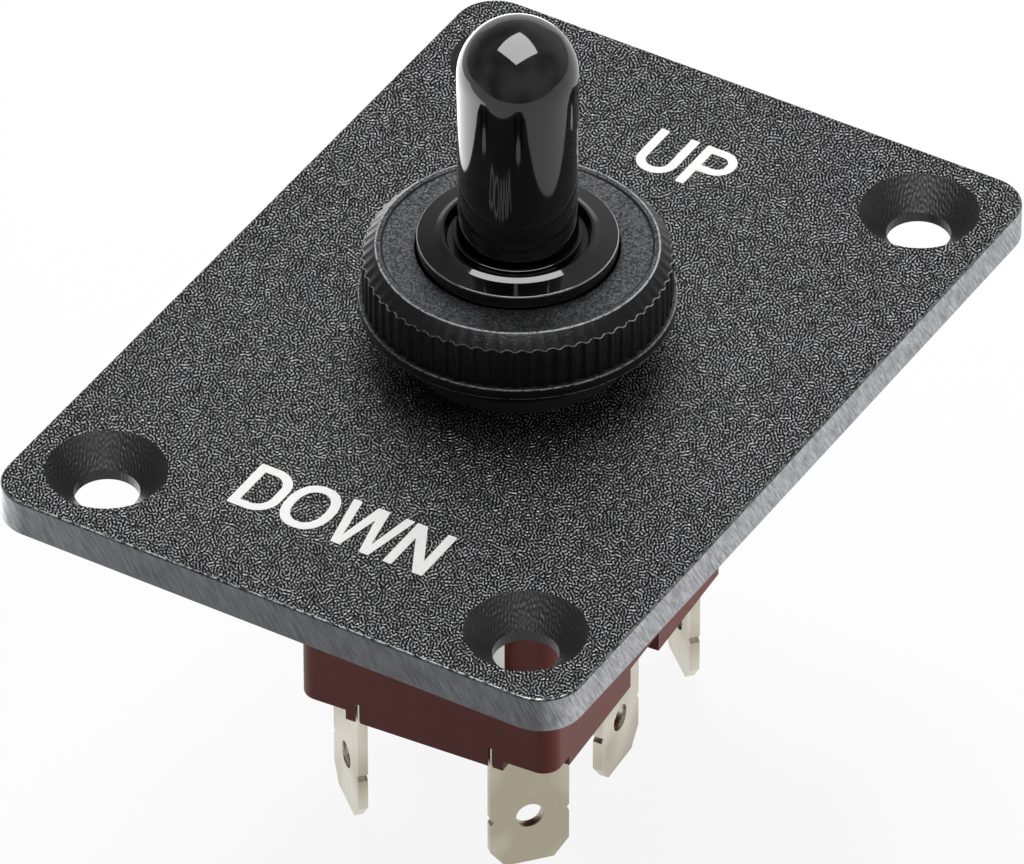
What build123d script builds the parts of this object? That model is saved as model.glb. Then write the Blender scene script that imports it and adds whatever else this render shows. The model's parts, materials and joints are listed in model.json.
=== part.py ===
from build123d import *
import os
from math import cos, pi, radians, sin, sqrt

# A panel-mounted toggle switch, momentary on-off-on with two poles: a countersunk panel plate, a
# sealed lever under a rubber boot, a moulded base with six blade terminals, and the rocking
# contacts inside. Millimetres. +Z is up out of the panel, +Y is the long side of the plate, and
# the origin is the centre of the plate's underside, where the screws pull it against a panel.

# The switch sits turned a little in the plate's round hole, and everything but the plate turns with it.
SWITCH_TURN = 4.0               # degrees about +Z

# Panel plate
PLATE_WIDTH = 50.0
PLATE_LENGTH = 72.0
PLATE_THICKNESS = 3.0
PLATE_CORNER_RADIUS = 3.4
PLATE_EDGE_ROUND = 0.25
SCREW_MARGIN = 6.7              # plate edge to screw centre
SCREW_HOLE_RADIUS = 2.5
SCREW_CONE_RADIUS = 4.65        # rim of the 90 degree countersink
PANEL_HOLE_CLEARANCE = 0.1      # plate hole over the bushing

# Bushing, its nuts and washers
BUSHING_RADIUS = 6.0
BUSHING_TOP = 9.0
BUSHING_THREAD_CLEARANCE = 0.05
BUSHING_CHAMFER = 0.5
BUSHING_WAIST_LENGTH = 4.4      # straight part of the bore, around the pivot
BUSHING_MOUTH_WALL = 1.6
SHOULDER_RADIUS = 7.4
SHOULDER_THICKNESS = 1.0
SHOULDER_GAP = 0.2              # lower nut to shoulder
SPIGOT_RADIUS = 5.1
SPIGOT_WALL = 0.95
KEYWAY_WIDTH = 1.8
KEYWAY_DEPTH = 0.6
SEAL_WASHER_RADIUS = 9.0
SEAL_WASHER_THICKNESS = 1.0
LOCK_WASHER_RADIUS = 8.8
LOCK_WASHER_THICKNESS = 0.8
LOCK_WASHER_TEETH = 12
LOCK_WASHER_TOOTH_DEPTH = 1.1
HEX_NUT_FLATS = 14.0
HEX_NUT_CORNER_TRIM = 0.35
UPPER_NUT_THICKNESS = 2.75
LOWER_NUT_THICKNESS = 2.2

# Knurled ring nut that holds the boot
RING_NUT_HEIGHT = 5.35
RING_NUT_LIP_RADIUS = 12.1
RING_NUT_LIP_HEIGHT = 0.9
KNURL_RADIUS = 11.8
KNURL_DEPTH = 0.2
KNURL_COUNT = 66
KNURL_HEIGHT = 3.4
CROWN_RADIUS = 10.75
CROWN_ROUND = 0.35
CROWN_RECESS = 0.15
CROWN_RIM = 0.5
BOOT_GROOVE_HEIGHT = 1.6
BOOT_GROOVE_RADIUS = 9.0

# Rubber boot
BOOT_SKIRT_CLEARANCE = 0.1
BOOT_FLANGE_RADIUS = 7.65
BOOT_FLANGE_STAND = 1.15        # flange top above the ring nut
BOOT_FLANGE_EDGE_ROUND = 0.15
BOOT_FLANGE_CREST_RADIUS = 6.6 # inner end of the flange's flat top
BOOT_FLANGE_CREST_ROUND = 0.9
BOOT_FOOT_RADIUS = 4.9
BOOT_FOOT_HEIGHT = 0.4
BOOT_FOOT_ROUND = 0.1
BOOT_FLARE_LENGTH = 1.3         # foot ring up to the straight sleeve
BOOT_FLARE_ROUND = 1.6
BOOT_MOAT_DEPTH = 0.6
BOOT_MOAT_WIDTH = 0.8
BOOT_MOAT_ROUND = 0.25
BOOT_WAIST_RADIUS = 4.45
BOOT_DOME_RADIUS = 4.6
BOOT_WALL = 0.85
BOOT_TOP = 32.75
BOOT_TO_LEVER = 0.3
BOOT_SKIRT_BORE_RADIUS = 5.0

# Lever and its pivot
LEVER_PIVOT_HEIGHT = 2.0
LEVER_THROW = 12.5              # degrees each way
LEVER_NECK_RADIUS = 2.3
LEVER_BALL_RADIUS = 3.15
LEVER_BALL_CLEARANCE = 0.1
LEVER_TAIL_RADIUS = 1.7
PIVOT_PIN_RADIUS = 0.8
PIVOT_PIN_CLEARANCE = 0.05
PIVOT_PIN_INSET = 0.3           # pin end inside the bushing's outside

# Steel frame, card and base
FRAME_THICKNESS = 1.0
FRAME_SIDE_STEP = 0.8           # base's side face to the frame's edge
FRAME_STRAP_HALF_WIDTH = 7.3
FRAME_STRAP_THICKNESS = 0.8
FRAME_STRAP_LENGTH = 13.5       # from the frame's top face down
FRAME_LUG_WIDTH = 5.0
FRAME_LUG_DEPTH = 0.9
FRAME_LUG_CLEARANCE = 0.1
CARD_THICKNESS = 0.4
CARD_CLEARANCE = 0.15
BASE_HALF_WIDTH = 10.95
BASE_HALF_LENGTH = 15.7
BASE_CORNER_RADIUS = 1.5
BASE_SIDE_WALL = 1.5
BASE_END_WALL = 1.2
BASE_DEPTH = 19.0               # top edge to the raised corners of the underside
BASE_FLOOR = 3.6
BASE_RIB_DROP = 0.9             # ribs of the underside below the corners
BASE_CORNER_STEP_X = 4.2        # raised corners, in from the base's faces
BASE_CORNER_STEP_Y = 2.9
BASE_SIDE_POCKET_HALF_LENGTH = 2.4
BASE_SIDE_POCKET_DEPTH = 1.8
BASE_DIVIDER_THICKNESS = 1.6
BASE_DIVIDER_HEIGHT = 6.4

# Blade terminals
BLADE_WIDTH = 6.35
BLADE_THICKNESS = 0.8
BLADE_LENGTH = 11.2             # below the raised corners of the underside
BLADE_HOLE_RADIUS = 1.08
BLADE_HOLE_HEIGHT = 4.6         # hole centre above the tip
BLADE_TIP_CHAMFER = 1.2
BLADE_TIP_SLOPE = 1.6
BLADE_NICK_DEPTH = 0.3
BLADE_SEAT_DEPTH = 0.9          # full width of the blade inside the base
BLADE_SLOT_CLEARANCE = 0.1
TANG_WIDTH = 2.6
PAD_RADIUS = 2.0
PAD_THICKNESS = 0.8
CORNER_BLADE_INSET_X = 3.3      # blade centres, in from the base's faces
CORNER_BLADE_INSET_Y = 2.5
MIDDLE_BLADE_INSET = 2.45
POLE_OFFSET = 5.5               # line of each pole's rocker, plunger and contacts
CONTACT_TO_BLADE = 4.6          # along the pole

# Contacts, rockers and plungers
FIXED_CONTACT_RADIUS = 1.3
FIXED_CONTACT_HEIGHT = 0.6
MOVING_CONTACT_RADIUS = 1.2
MOVING_CONTACT_HEIGHT = 0.5
CONTACT_ROUND = 0.25
CONTACT_CLEARANCE = 0.05        # left between the contacts at full throw
ROCKER_THROW = 6.0              # degrees each way, at the lever's full throw
ROCKER_WIDTH = 4.6
ROCKER_WEB = 0.8
ROCKER_END_LENGTH = 1.5         # beyond the contact's centre
VALLEY_HALF_LENGTH = 4.5        # cam valley on the rocker
FULCRUM_RADIUS = 0.5
FULCRUM_CLEARANCE = 0.06
FULCRUM_WIDTH = 3.2
PLUNGER_RADIUS = 1.3
PLUNGER_ARM_LENGTH = 17.0       # pivot to the centre of the plunger's round tip
PLUNGER_GAP = 0.1               # tip to rocker
PLUNGER_LENGTH = 4.4            # tip centre to head
PLUNGER_CLEARANCE = 0.05
PLUNGER_TRAVEL = 0.8            # into the bore, against the spring
SPRING_WIRE_RADIUS = 0.17
SPRING_TURNS = 4
SPRING_SPARE_LENGTH = 0.74      # left when the plunger is all the way in
CARRIER_TOP_GAP = 1.2           # card to carrier
CARRIER_BOTTOM_WALL = 0.8
CARRIER_HALF_LENGTH = 2.4
CARRIER_SIDE_WALL = 1.1

# Heights and places worked out from the sizes above
FRAME_HALF_WIDTH = BASE_HALF_WIDTH - FRAME_SIDE_STEP
CORNER_BLADE_X = BASE_HALF_WIDTH - CORNER_BLADE_INSET_X
CORNER_BLADE_Y = BASE_HALF_LENGTH - CORNER_BLADE_INSET_Y
MIDDLE_BLADE_X = BASE_HALF_WIDTH - MIDDLE_BLADE_INSET
CONTACT_Y = CORNER_BLADE_Y - CONTACT_TO_BLADE
SCREW_X = PLATE_WIDTH / 2 - SCREW_MARGIN
SCREW_Y = PLATE_LENGTH / 2 - SCREW_MARGIN
NUT_BORE = BUSHING_RADIUS + BUSHING_THREAD_CLEARANCE
SEAL_WASHER_TOP = PLATE_THICKNESS + SEAL_WASHER_THICKNESS
UPPER_NUT_TOP = SEAL_WASHER_TOP + UPPER_NUT_THICKNESS
RING_NUT_TOP = UPPER_NUT_TOP + RING_NUT_HEIGHT
BOOT_SKIRT_TOP = BUSHING_TOP + BOOT_GROOVE_HEIGHT - BOOT_SKIRT_CLEARANCE
BOOT_FLANGE_TOP = RING_NUT_TOP + BOOT_FLANGE_STAND
BOOT_DOME_CENTRE = BOOT_TOP - BOOT_DOME_RADIUS
BOOT_INNER_RADIUS = BOOT_DOME_RADIUS - BOOT_WALL
LEVER_TIP_RADIUS = BOOT_INNER_RADIUS - BOOT_TO_LEVER

LOWER_NUT_BOTTOM = -LOCK_WASHER_THICKNESS - LOWER_NUT_THICKNESS
SHOULDER_TOP = LOWER_NUT_BOTTOM - SHOULDER_GAP
FRAME_TOP = SHOULDER_TOP - SHOULDER_THICKNESS
FRAME_BOTTOM = FRAME_TOP - FRAME_THICKNESS
BASE_TOP = FRAME_BOTTOM - CARD_THICKNESS
BASE_CORNER_LEVEL = BASE_TOP - BASE_DEPTH
BASE_FLOOR_TOP = BASE_CORNER_LEVEL + BASE_FLOOR
BASE_BOTTOM = BASE_CORNER_LEVEL - BASE_RIB_DROP
BLADE_TIP = BASE_CORNER_LEVEL - BLADE_LENGTH
BLADE_SHOULDER = BASE_CORNER_LEVEL + BLADE_SEAT_DEPTH
PAD_TOP = BASE_FLOOR_TOP + PAD_THICKNESS
FIXED_CONTACT_TOP = PAD_TOP + FIXED_CONTACT_HEIGHT

PLUNGER_TIP_CENTRE = LEVER_PIVOT_HEIGHT - PLUNGER_ARM_LENGTH
PLUNGER_HEAD = PLUNGER_TIP_CENTRE + PLUNGER_LENGTH
SPRING_SOLID_LENGTH = 2 * SPRING_WIRE_RADIUS * SPRING_TURNS
SPRING_LENGTH = SPRING_SOLID_LENGTH + PLUNGER_TRAVEL + SPRING_SPARE_LENGTH
SPRING_TOP = PLUNGER_HEAD + SPRING_LENGTH
CARRIER_TOP = BASE_TOP - CARRIER_TOP_GAP
CARRIER_BOTTOM = PLUNGER_TIP_CENTRE + PLUNGER_RADIUS + CARRIER_BOTTOM_WALL
PLUNGER_BORE = PLUNGER_RADIUS + PLUNGER_CLEARANCE
CARRIER_HALF_WIDTH = POLE_OFFSET + PLUNGER_BORE + CARRIER_SIDE_WALL

# The plunger's tip runs in a round valley on the rocker. Seen from the rocker, which turns the
# other way by ROCKER_THROW / LEVER_THROW, the tip's centre moves on an arc of CAM_PATH_RADIUS.
SADDLE_RADIUS = FULCRUM_RADIUS + FULCRUM_CLEARANCE
TIP_ABOVE_FULCRUM = PLUNGER_RADIUS + PLUNGER_GAP + ROCKER_WEB + SADDLE_RADIUS
FULCRUM_HEIGHT = PLUNGER_TIP_CENTRE - TIP_ABOVE_FULCRUM
CAM_RATIO = ROCKER_THROW / LEVER_THROW
CAM_RUN = PLUNGER_ARM_LENGTH - CAM_RATIO * TIP_ABOVE_FULCRUM
CAM_RISE = PLUNGER_ARM_LENGTH * (0.5 + CAM_RATIO) - CAM_RATIO ** 2 * TIP_ABOVE_FULCRUM / 2
CAM_PATH_RADIUS = CAM_RUN ** 2 / (2 * CAM_RISE)
CAM_RADIUS = CAM_PATH_RADIUS + PLUNGER_RADIUS + PLUNGER_GAP
CAM_CENTRE = PLUNGER_TIP_CENTRE + CAM_PATH_RADIUS

# The moving contact stands this far above the fixed one at rest, and clears it at full throw.
CONTACT_REACH = CONTACT_Y + MOVING_CONTACT_RADIUS - CONTACT_ROUND
CONTACT_LOW_POINT = FIXED_CONTACT_TOP + CONTACT_CLEARANCE - FULCRUM_HEIGHT
MOVING_CONTACT_BOTTOM = FULCRUM_HEIGHT + (
    CONTACT_LOW_POINT + CONTACT_REACH * sin(radians(ROCKER_THROW))) / cos(radians(ROCKER_THROW))
ROCKER_END_BOTTOM = MOVING_CONTACT_BOTTOM + MOVING_CONTACT_HEIGHT

UP_FROM_BASE = (Align.CENTER, Align.CENTER, Align.MIN)
CORNER_TURN = 45.0              # the corner blades face outwards along the diagonals
BLADE_PLACES = {                # name: x, y, turn in degrees
    "terminal_front_right": (CORNER_BLADE_X, -CORNER_BLADE_Y, CORNER_TURN),
    "terminal_front_left": (-CORNER_BLADE_X, -CORNER_BLADE_Y, -CORNER_TURN),
    "terminal_middle_right": (MIDDLE_BLADE_X, 0.0, 90.0),
    "terminal_middle_left": (-MIDDLE_BLADE_X, 0.0, -90.0),
    "terminal_rear_right": (CORNER_BLADE_X, CORNER_BLADE_Y, 180.0 - CORNER_TURN),
    "terminal_rear_left": (-CORNER_BLADE_X, CORNER_BLADE_Y, CORNER_TURN - 180.0),
}


def disc(radius, low, high):
    """Cylinder about the Z axis between two heights."""
    return Pos(0, 0, low) * Cylinder(radius, high - low, align=UP_FROM_BASE)


def block(size_x, size_y, low, high):
    """Box about the Z axis between two heights."""
    return Pos(0, 0, low) * Box(size_x, size_y, high - low, align=UP_FROM_BASE)


def rounded_block(half_x, half_y, radius, low, high):
    """Box about the Z axis with rounded upright corners."""
    outline = RectangleRounded(2 * half_x, 2 * half_y, radius)
    return Pos(0, 0, low) * extrude(outline, high - low)


def turned(points):
    """Solid of revolution about Z from (radius, height) corners; a third number rounds the corner."""
    corners = [point[:2] for point in points]
    rounds = [point[2] if len(point) == 3 else 0 for point in points]
    outline = make_face(Plane.XZ * FilletPolyline(*corners, radius=rounds, close=True))
    return revolve(outline, Axis.Z)


def place_blade(place, piece):
    """Stand a piece made at the origin, facing inwards along +Y, at a terminal's place."""
    x, y, turn = place
    return Pos(x, y, 0) * Rot(0, 0, turn) * piece


def screw_places():
    """Centres of the four panel screws."""
    return [(sx * SCREW_X, sy * SCREW_Y) for sx in (-1, 1) for sy in (-1, 1)]


def panel_plate():
    plate = rounded_block(PLATE_WIDTH / 2, PLATE_LENGTH / 2, PLATE_CORNER_RADIUS, 0, PLATE_THICKNESS)
    plate = fillet(plate.faces().sort_by(Axis.Z)[-1].edges(), PLATE_EDGE_ROUND)
    plate -= disc(BUSHING_RADIUS + PANEL_HOLE_CLEARANCE, 0, PLATE_THICKNESS)
    cone_depth = SCREW_CONE_RADIUS - SCREW_HOLE_RADIUS
    screw_cut = turned([
        (0, 0), (SCREW_HOLE_RADIUS, 0), (SCREW_HOLE_RADIUS, PLATE_THICKNESS - cone_depth),
        (SCREW_CONE_RADIUS, PLATE_THICKNESS), (0, PLATE_THICKNESS)])
    for x, y in screw_places():
        plate -= Pos(x, y, 0) * screw_cut
    return plate


def bushing():
    mouth = BUSHING_RADIUS - BUSHING_MOUTH_WALL
    waist = LEVER_BALL_RADIUS + LEVER_BALL_CLEARANCE
    waist_top = LEVER_PIVOT_HEIGHT + BUSHING_WAIST_LENGTH / 2
    waist_bottom = LEVER_PIVOT_HEIGHT - BUSHING_WAIST_LENGTH / 2
    spigot_bore = SPIGOT_RADIUS - SPIGOT_WALL
    body = turned([
        (waist, waist_top), (mouth, BUSHING_TOP), (BUSHING_RADIUS - BUSHING_CHAMFER, BUSHING_TOP),
        (BUSHING_RADIUS, BUSHING_TOP - BUSHING_CHAMFER), (BUSHING_RADIUS, SHOULDER_TOP),
        (SHOULDER_RADIUS, SHOULDER_TOP), (SHOULDER_RADIUS, FRAME_TOP), (SPIGOT_RADIUS, FRAME_TOP),
        (SPIGOT_RADIUS, BASE_TOP), (spigot_bore, BASE_TOP), (waist, waist_bottom)])
    keyway = block(KEYWAY_WIDTH, 2 * KEYWAY_DEPTH, SHOULDER_TOP, BUSHING_TOP)
    body -= Pos(0, -BUSHING_RADIUS, 0) * keyway
    pin_hole = Pos(0, 0, LEVER_PIVOT_HEIGHT) * Rot(0, 90, 0) * Cylinder(
        PIVOT_PIN_RADIUS, 2 * (BUSHING_RADIUS - PIVOT_PIN_INSET))
    return body - pin_hole


def pivot_pin():
    pin = Cylinder(PIVOT_PIN_RADIUS, 2 * (BUSHING_RADIUS - PIVOT_PIN_INSET))
    return Pos(0, 0, LEVER_PIVOT_HEIGHT) * Rot(0, 90, 0) * pin


def hex_nut(low, high):
    """Plain hexagon nut with turned-down corners."""
    across_corners = HEX_NUT_FLATS / sqrt(3)
    nut = Pos(0, 0, low) * extrude(RegularPolygon(across_corners, 6), high - low)
    trim = HEX_NUT_CORNER_TRIM
    nut &= turned([
        (0, low), (across_corners - trim, low), (across_corners, low + trim),
        (across_corners, high - trim), (across_corners - trim, high), (0, high)])
    return nut - disc(NUT_BORE, low, high)


def seal_washer():
    return disc(SEAL_WASHER_RADIUS, PLATE_THICKNESS, SEAL_WASHER_TOP) - disc(
        NUT_BORE, PLATE_THICKNESS, SEAL_WASHER_TOP)


def lock_washer():
    """Internal-tooth washer: the teeth are left between notches cut outwards from the bore."""
    low = -LOCK_WASHER_THICKNESS
    washer = disc(LOCK_WASHER_RADIUS, low, 0) - disc(NUT_BORE, low, 0)
    tooth_pitch = 2 * pi * NUT_BORE / LOCK_WASHER_TEETH
    notch = block(2 * LOCK_WASHER_TOOTH_DEPTH, tooth_pitch / 2, low, 0)
    for number in range(LOCK_WASHER_TEETH):
        washer -= Rot(0, 0, 360 * number / LOCK_WASHER_TEETH) * Pos(NUT_BORE, 0, 0) * notch
    return washer


def knurled_ring_nut():
    """Ring nut: plain lip, fluted band, rounded crown, and a groove inside for the boot's skirt."""
    lip_top = UPPER_NUT_TOP + RING_NUT_LIP_HEIGHT
    knurl_top = lip_top + KNURL_HEIGHT
    flute = Rot(0, 0, 45) * Rectangle(sqrt(2) * KNURL_DEPTH, sqrt(2) * KNURL_DEPTH)
    band = Circle(KNURL_RADIUS) - PolarLocations(KNURL_RADIUS, KNURL_COUNT) * flute
    nut = disc(RING_NUT_LIP_RADIUS, UPPER_NUT_TOP, lip_top)
    nut += Pos(0, 0, lip_top) * extrude(band, KNURL_HEIGHT)
    crown = turned([
        (0, knurl_top), (KNURL_RADIUS - KNURL_DEPTH, knurl_top),
        (CROWN_RADIUS, RING_NUT_TOP, CROWN_ROUND), (CROWN_RADIUS - CROWN_RIM, RING_NUT_TOP),
        (CROWN_RADIUS - CROWN_RIM - CROWN_RECESS, RING_NUT_TOP - CROWN_RECESS),
        (0, RING_NUT_TOP - CROWN_RECESS)])
    nut += crown
    groove_top = BUSHING_TOP + BOOT_GROOVE_HEIGHT
    nut -= disc(NUT_BORE, UPPER_NUT_TOP, BUSHING_TOP)
    nut -= disc(BOOT_GROOVE_RADIUS, BUSHING_TOP, groove_top)
    nut -= disc(BOOT_FLANGE_RADIUS + BOOT_SKIRT_CLEARANCE, groove_top, RING_NUT_TOP)
    return nut


def rubber_boot():
    """Moulded boot: skirt in the nut's groove, flange, moat, foot ring, sleeve and dome."""
    skirt = BOOT_GROOVE_RADIUS - BOOT_SKIRT_CLEARANCE
    moat_floor = BOOT_FLANGE_TOP - BOOT_MOAT_DEPTH
    foot_top = BOOT_FLANGE_TOP + BOOT_FOOT_HEIGHT
    outside = turned([
        (0, BUSHING_TOP), (skirt, BUSHING_TOP), (skirt, BOOT_SKIRT_TOP),
        (BOOT_FLANGE_RADIUS, BOOT_SKIRT_TOP), (BOOT_FLANGE_RADIUS, BOOT_FLANGE_TOP, BOOT_FLANGE_EDGE_ROUND),
        (BOOT_FLANGE_CREST_RADIUS, BOOT_FLANGE_TOP, BOOT_FLANGE_CREST_ROUND),
        (BOOT_FOOT_RADIUS + BOOT_MOAT_WIDTH, moat_floor, BOOT_MOAT_ROUND),
        (BOOT_FOOT_RADIUS, moat_floor, BOOT_MOAT_ROUND), (BOOT_FOOT_RADIUS, foot_top, BOOT_FOOT_ROUND),
        (BOOT_WAIST_RADIUS, foot_top + BOOT_FLARE_LENGTH, BOOT_FLARE_ROUND),
        (BOOT_DOME_RADIUS, BOOT_DOME_CENTRE), (0, BOOT_DOME_CENTRE)])
    outside += Pos(0, 0, BOOT_DOME_CENTRE) * Sphere(BOOT_DOME_RADIUS)
    inside = turned([
        (0, BUSHING_TOP), (BOOT_SKIRT_BORE_RADIUS, BUSHING_TOP), (BOOT_SKIRT_BORE_RADIUS, BOOT_SKIRT_TOP),
        (BOOT_INNER_RADIUS, BOOT_FLANGE_TOP - BOOT_FLANGE_STAND), (BOOT_INNER_RADIUS, BOOT_DOME_CENTRE),
        (0, BOOT_DOME_CENTRE)])
    inside += Pos(0, 0, BOOT_DOME_CENTRE) * Sphere(BOOT_INNER_RADIUS)
    return outside - inside


def lever():
    """Bat lever turned from one rod: round tip, tapered bat, neck, ball and tail."""
    tail_end = CARRIER_BOTTOM + CARRIER_BOTTOM_WALL
    bat = turned([
        (0, tail_end), (LEVER_TAIL_RADIUS, tail_end), (LEVER_TAIL_RADIUS, CARRIER_TOP),
        (LEVER_NECK_RADIUS, CARRIER_TOP), (LEVER_NECK_RADIUS, BUSHING_TOP),
        (LEVER_TIP_RADIUS, BOOT_DOME_CENTRE), (0, BOOT_DOME_CENTRE)])
    bat += Pos(0, 0, BOOT_DOME_CENTRE) * Sphere(LEVER_TIP_RADIUS)
    bat += Pos(0, 0, LEVER_PIVOT_HEIGHT) * Sphere(LEVER_BALL_RADIUS)
    pin_hole = Cylinder(PIVOT_PIN_RADIUS + PIVOT_PIN_CLEARANCE, 3 * LEVER_BALL_RADIUS)
    return bat - Pos(0, 0, LEVER_PIVOT_HEIGHT) * Rot(0, 90, 0) * pin_hole


def plunger_carrier():
    """Moulded block on the lever's tail, with a blind bore for each plunger and its spring."""
    carrier = block(2 * CARRIER_HALF_WIDTH, 2 * CARRIER_HALF_LENGTH, CARRIER_BOTTOM, CARRIER_TOP)
    carrier = fillet(carrier.edges().filter_by(Axis.Z), CARRIER_SIDE_WALL / 2)
    carrier -= disc(LEVER_TAIL_RADIUS, CARRIER_BOTTOM + CARRIER_BOTTOM_WALL, CARRIER_TOP)
    for side in (-1, 1):
        carrier -= Pos(side * POLE_OFFSET, 0, 0) * disc(PLUNGER_BORE, CARRIER_BOTTOM, SPRING_TOP)
    return carrier


def plunger(side):
    """Round-ended pin that presses on a rocker."""
    pin = disc(PLUNGER_RADIUS, PLUNGER_TIP_CENTRE, PLUNGER_HEAD)
    pin += Pos(0, 0, PLUNGER_TIP_CENTRE) * Sphere(PLUNGER_RADIUS)
    return Pos(side * POLE_OFFSET, 0, 0) * pin


def plunger_spring(side):
    """Coil spring between a plunger's head and the end of its bore."""
    coil_height = SPRING_LENGTH - 2 * SPRING_WIRE_RADIUS
    coil_radius = PLUNGER_RADIUS - SPRING_WIRE_RADIUS - PLUNGER_CLEARANCE
    path = Helix(coil_height / SPRING_TURNS, coil_height, coil_radius)
    section = Plane(origin=path @ 0, z_dir=path % 0) * Circle(SPRING_WIRE_RADIUS)
    coil = sweep(section, path)
    return Pos(side * POLE_OFFSET, 0, PLUNGER_HEAD + SPRING_WIRE_RADIUS) * coil


def rocker(side):
    """Rocking contact bar: a cam valley for the plunger between two arms, over a saddle."""
    crest_top = CAM_CENTRE - sqrt(CAM_RADIUS ** 2 - VALLEY_HALF_LENGTH ** 2)
    end = CONTACT_Y + ROCKER_END_LENGTH
    end_start = CONTACT_Y - ROCKER_END_LENGTH
    end_top = ROCKER_END_BOTTOM + ROCKER_WEB
    crest_bottom = crest_top - ROCKER_WEB
    knee = VALLEY_HALF_LENGTH - ROCKER_WEB
    saddle = SADDLE_RADIUS + ROCKER_WEB
    crest = VALLEY_HALF_LENGTH
    valley = ThreePointArc((-crest, crest_top), (0, CAM_CENTRE - CAM_RADIUS), (crest, crest_top))
    rest = Polyline(
        (crest, crest_top), (end_start, end_top), (end, end_top), (end, ROCKER_END_BOTTOM),
        (end_start, ROCKER_END_BOTTOM), (knee, crest_bottom), (saddle, FULCRUM_HEIGHT),
        (-saddle, FULCRUM_HEIGHT), (-knee, crest_bottom), (-end_start, ROCKER_END_BOTTOM),
        (-end, ROCKER_END_BOTTOM), (-end, end_top), (-end_start, end_top), (-crest, crest_top))
    outline = make_face([valley, rest]) - Pos(0, FULCRUM_HEIGHT) * Circle(SADDLE_RADIUS)
    bar = extrude(Plane.YZ * outline, ROCKER_WIDTH / 2, both=True)
    return Pos(side * POLE_OFFSET, 0, 0) * bar


def contact_button(radius, height):
    """Rivet head standing on the XY plane, its free end rounded."""
    button = disc(radius, 0, height)
    return fillet(button.edges().sort_by(Axis.Z)[-1], CONTACT_ROUND)


def rocker_contacts(side):
    button = contact_button(MOVING_CONTACT_RADIUS, MOVING_CONTACT_HEIGHT)
    facing_down = Pos(0, 0, ROCKER_END_BOTTOM) * Rot(180, 0, 0) * button
    return Compound(children=[Pos(side * POLE_OFFSET, end * CONTACT_Y, 0) * facing_down for end in (-1, 1)])


def fixed_contacts():
    button = Pos(0, 0, PAD_TOP) * contact_button(FIXED_CONTACT_RADIUS, FIXED_CONTACT_HEIGHT)
    return Compound(children=[
        Pos(side * POLE_OFFSET, end * CONTACT_Y, 0) * button for side in (-1, 1) for end in (-1, 1)])


def fulcrum_post(side):
    """Upright on the middle terminal, with a round top that the rocker's saddle turns on."""
    post = block(FULCRUM_WIDTH, 2 * FULCRUM_RADIUS, PAD_TOP, FULCRUM_HEIGHT)
    post += Pos(0, 0, FULCRUM_HEIGHT) * Rot(0, 90, 0) * Cylinder(FULCRUM_RADIUS, FULCRUM_WIDTH)
    return Pos(side * POLE_OFFSET, 0, 0) * post


def pad_centre(place):
    """Contact or fulcrum position of a terminal, in the terminal's own frame."""
    x, y, turn = place
    across = (POLE_OFFSET if x > 0 else -POLE_OFFSET) - x
    along = (CONTACT_Y * (y > 0) - CONTACT_Y * (y < 0)) - y
    c, s = cos(radians(turn)), sin(radians(turn))
    return across * c + along * s, along * c - across * s


def terminal(place):
    """Stamped blade: chamfered tip, hole, locking nicks, narrow tang, and a pad bent over inside."""
    half = BLADE_WIDTH / 2
    hole_height = BLADE_TIP + BLADE_HOLE_HEIGHT
    outline = make_face(Polyline(
        (-half + BLADE_TIP_CHAMFER, BLADE_TIP), (half - BLADE_TIP_CHAMFER, BLADE_TIP),
        (half, BLADE_TIP + BLADE_TIP_SLOPE), (half, BLADE_SHOULDER),
        (TANG_WIDTH / 2, BLADE_SHOULDER), (TANG_WIDTH / 2, PAD_TOP), (-TANG_WIDTH / 2, PAD_TOP),
        (-TANG_WIDTH / 2, BLADE_SHOULDER), (-half, BLADE_SHOULDER),
        (-half, BLADE_TIP + BLADE_TIP_SLOPE), close=True))
    outline -= Pos(0, hole_height) * Circle(BLADE_HOLE_RADIUS)
    nick = Rot(0, 0, 45) * Rectangle(sqrt(2) * BLADE_NICK_DEPTH, sqrt(2) * BLADE_NICK_DEPTH)
    for edge in (-half, half):
        outline -= Pos(edge, hole_height) * nick
    blade = extrude(Plane.XZ * outline, BLADE_THICKNESS / 2, both=True)
    pad_x, pad_y = pad_centre(place)
    foot = Pos(0, pad_y / 2, BASE_FLOOR_TOP) * Box(TANG_WIDTH, pad_y, PAD_THICKNESS, align=UP_FROM_BASE)
    pad = Pos(pad_x, pad_y, 0) * disc(PAD_RADIUS, BASE_FLOOR_TOP, PAD_TOP)
    return place_blade(place, blade + foot + pad)


def blade_slot():
    """Cut in the base's floor for a blade's shoulders and tang."""
    spare = 2 * BLADE_SLOT_CLEARANCE
    thickness = BLADE_THICKNESS + spare
    seat = block(BLADE_WIDTH + spare, thickness, BASE_BOTTOM, BLADE_SHOULDER)
    return seat + block(TANG_WIDTH + spare, thickness, BLADE_SHOULDER, BASE_FLOOR_TOP)


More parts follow.
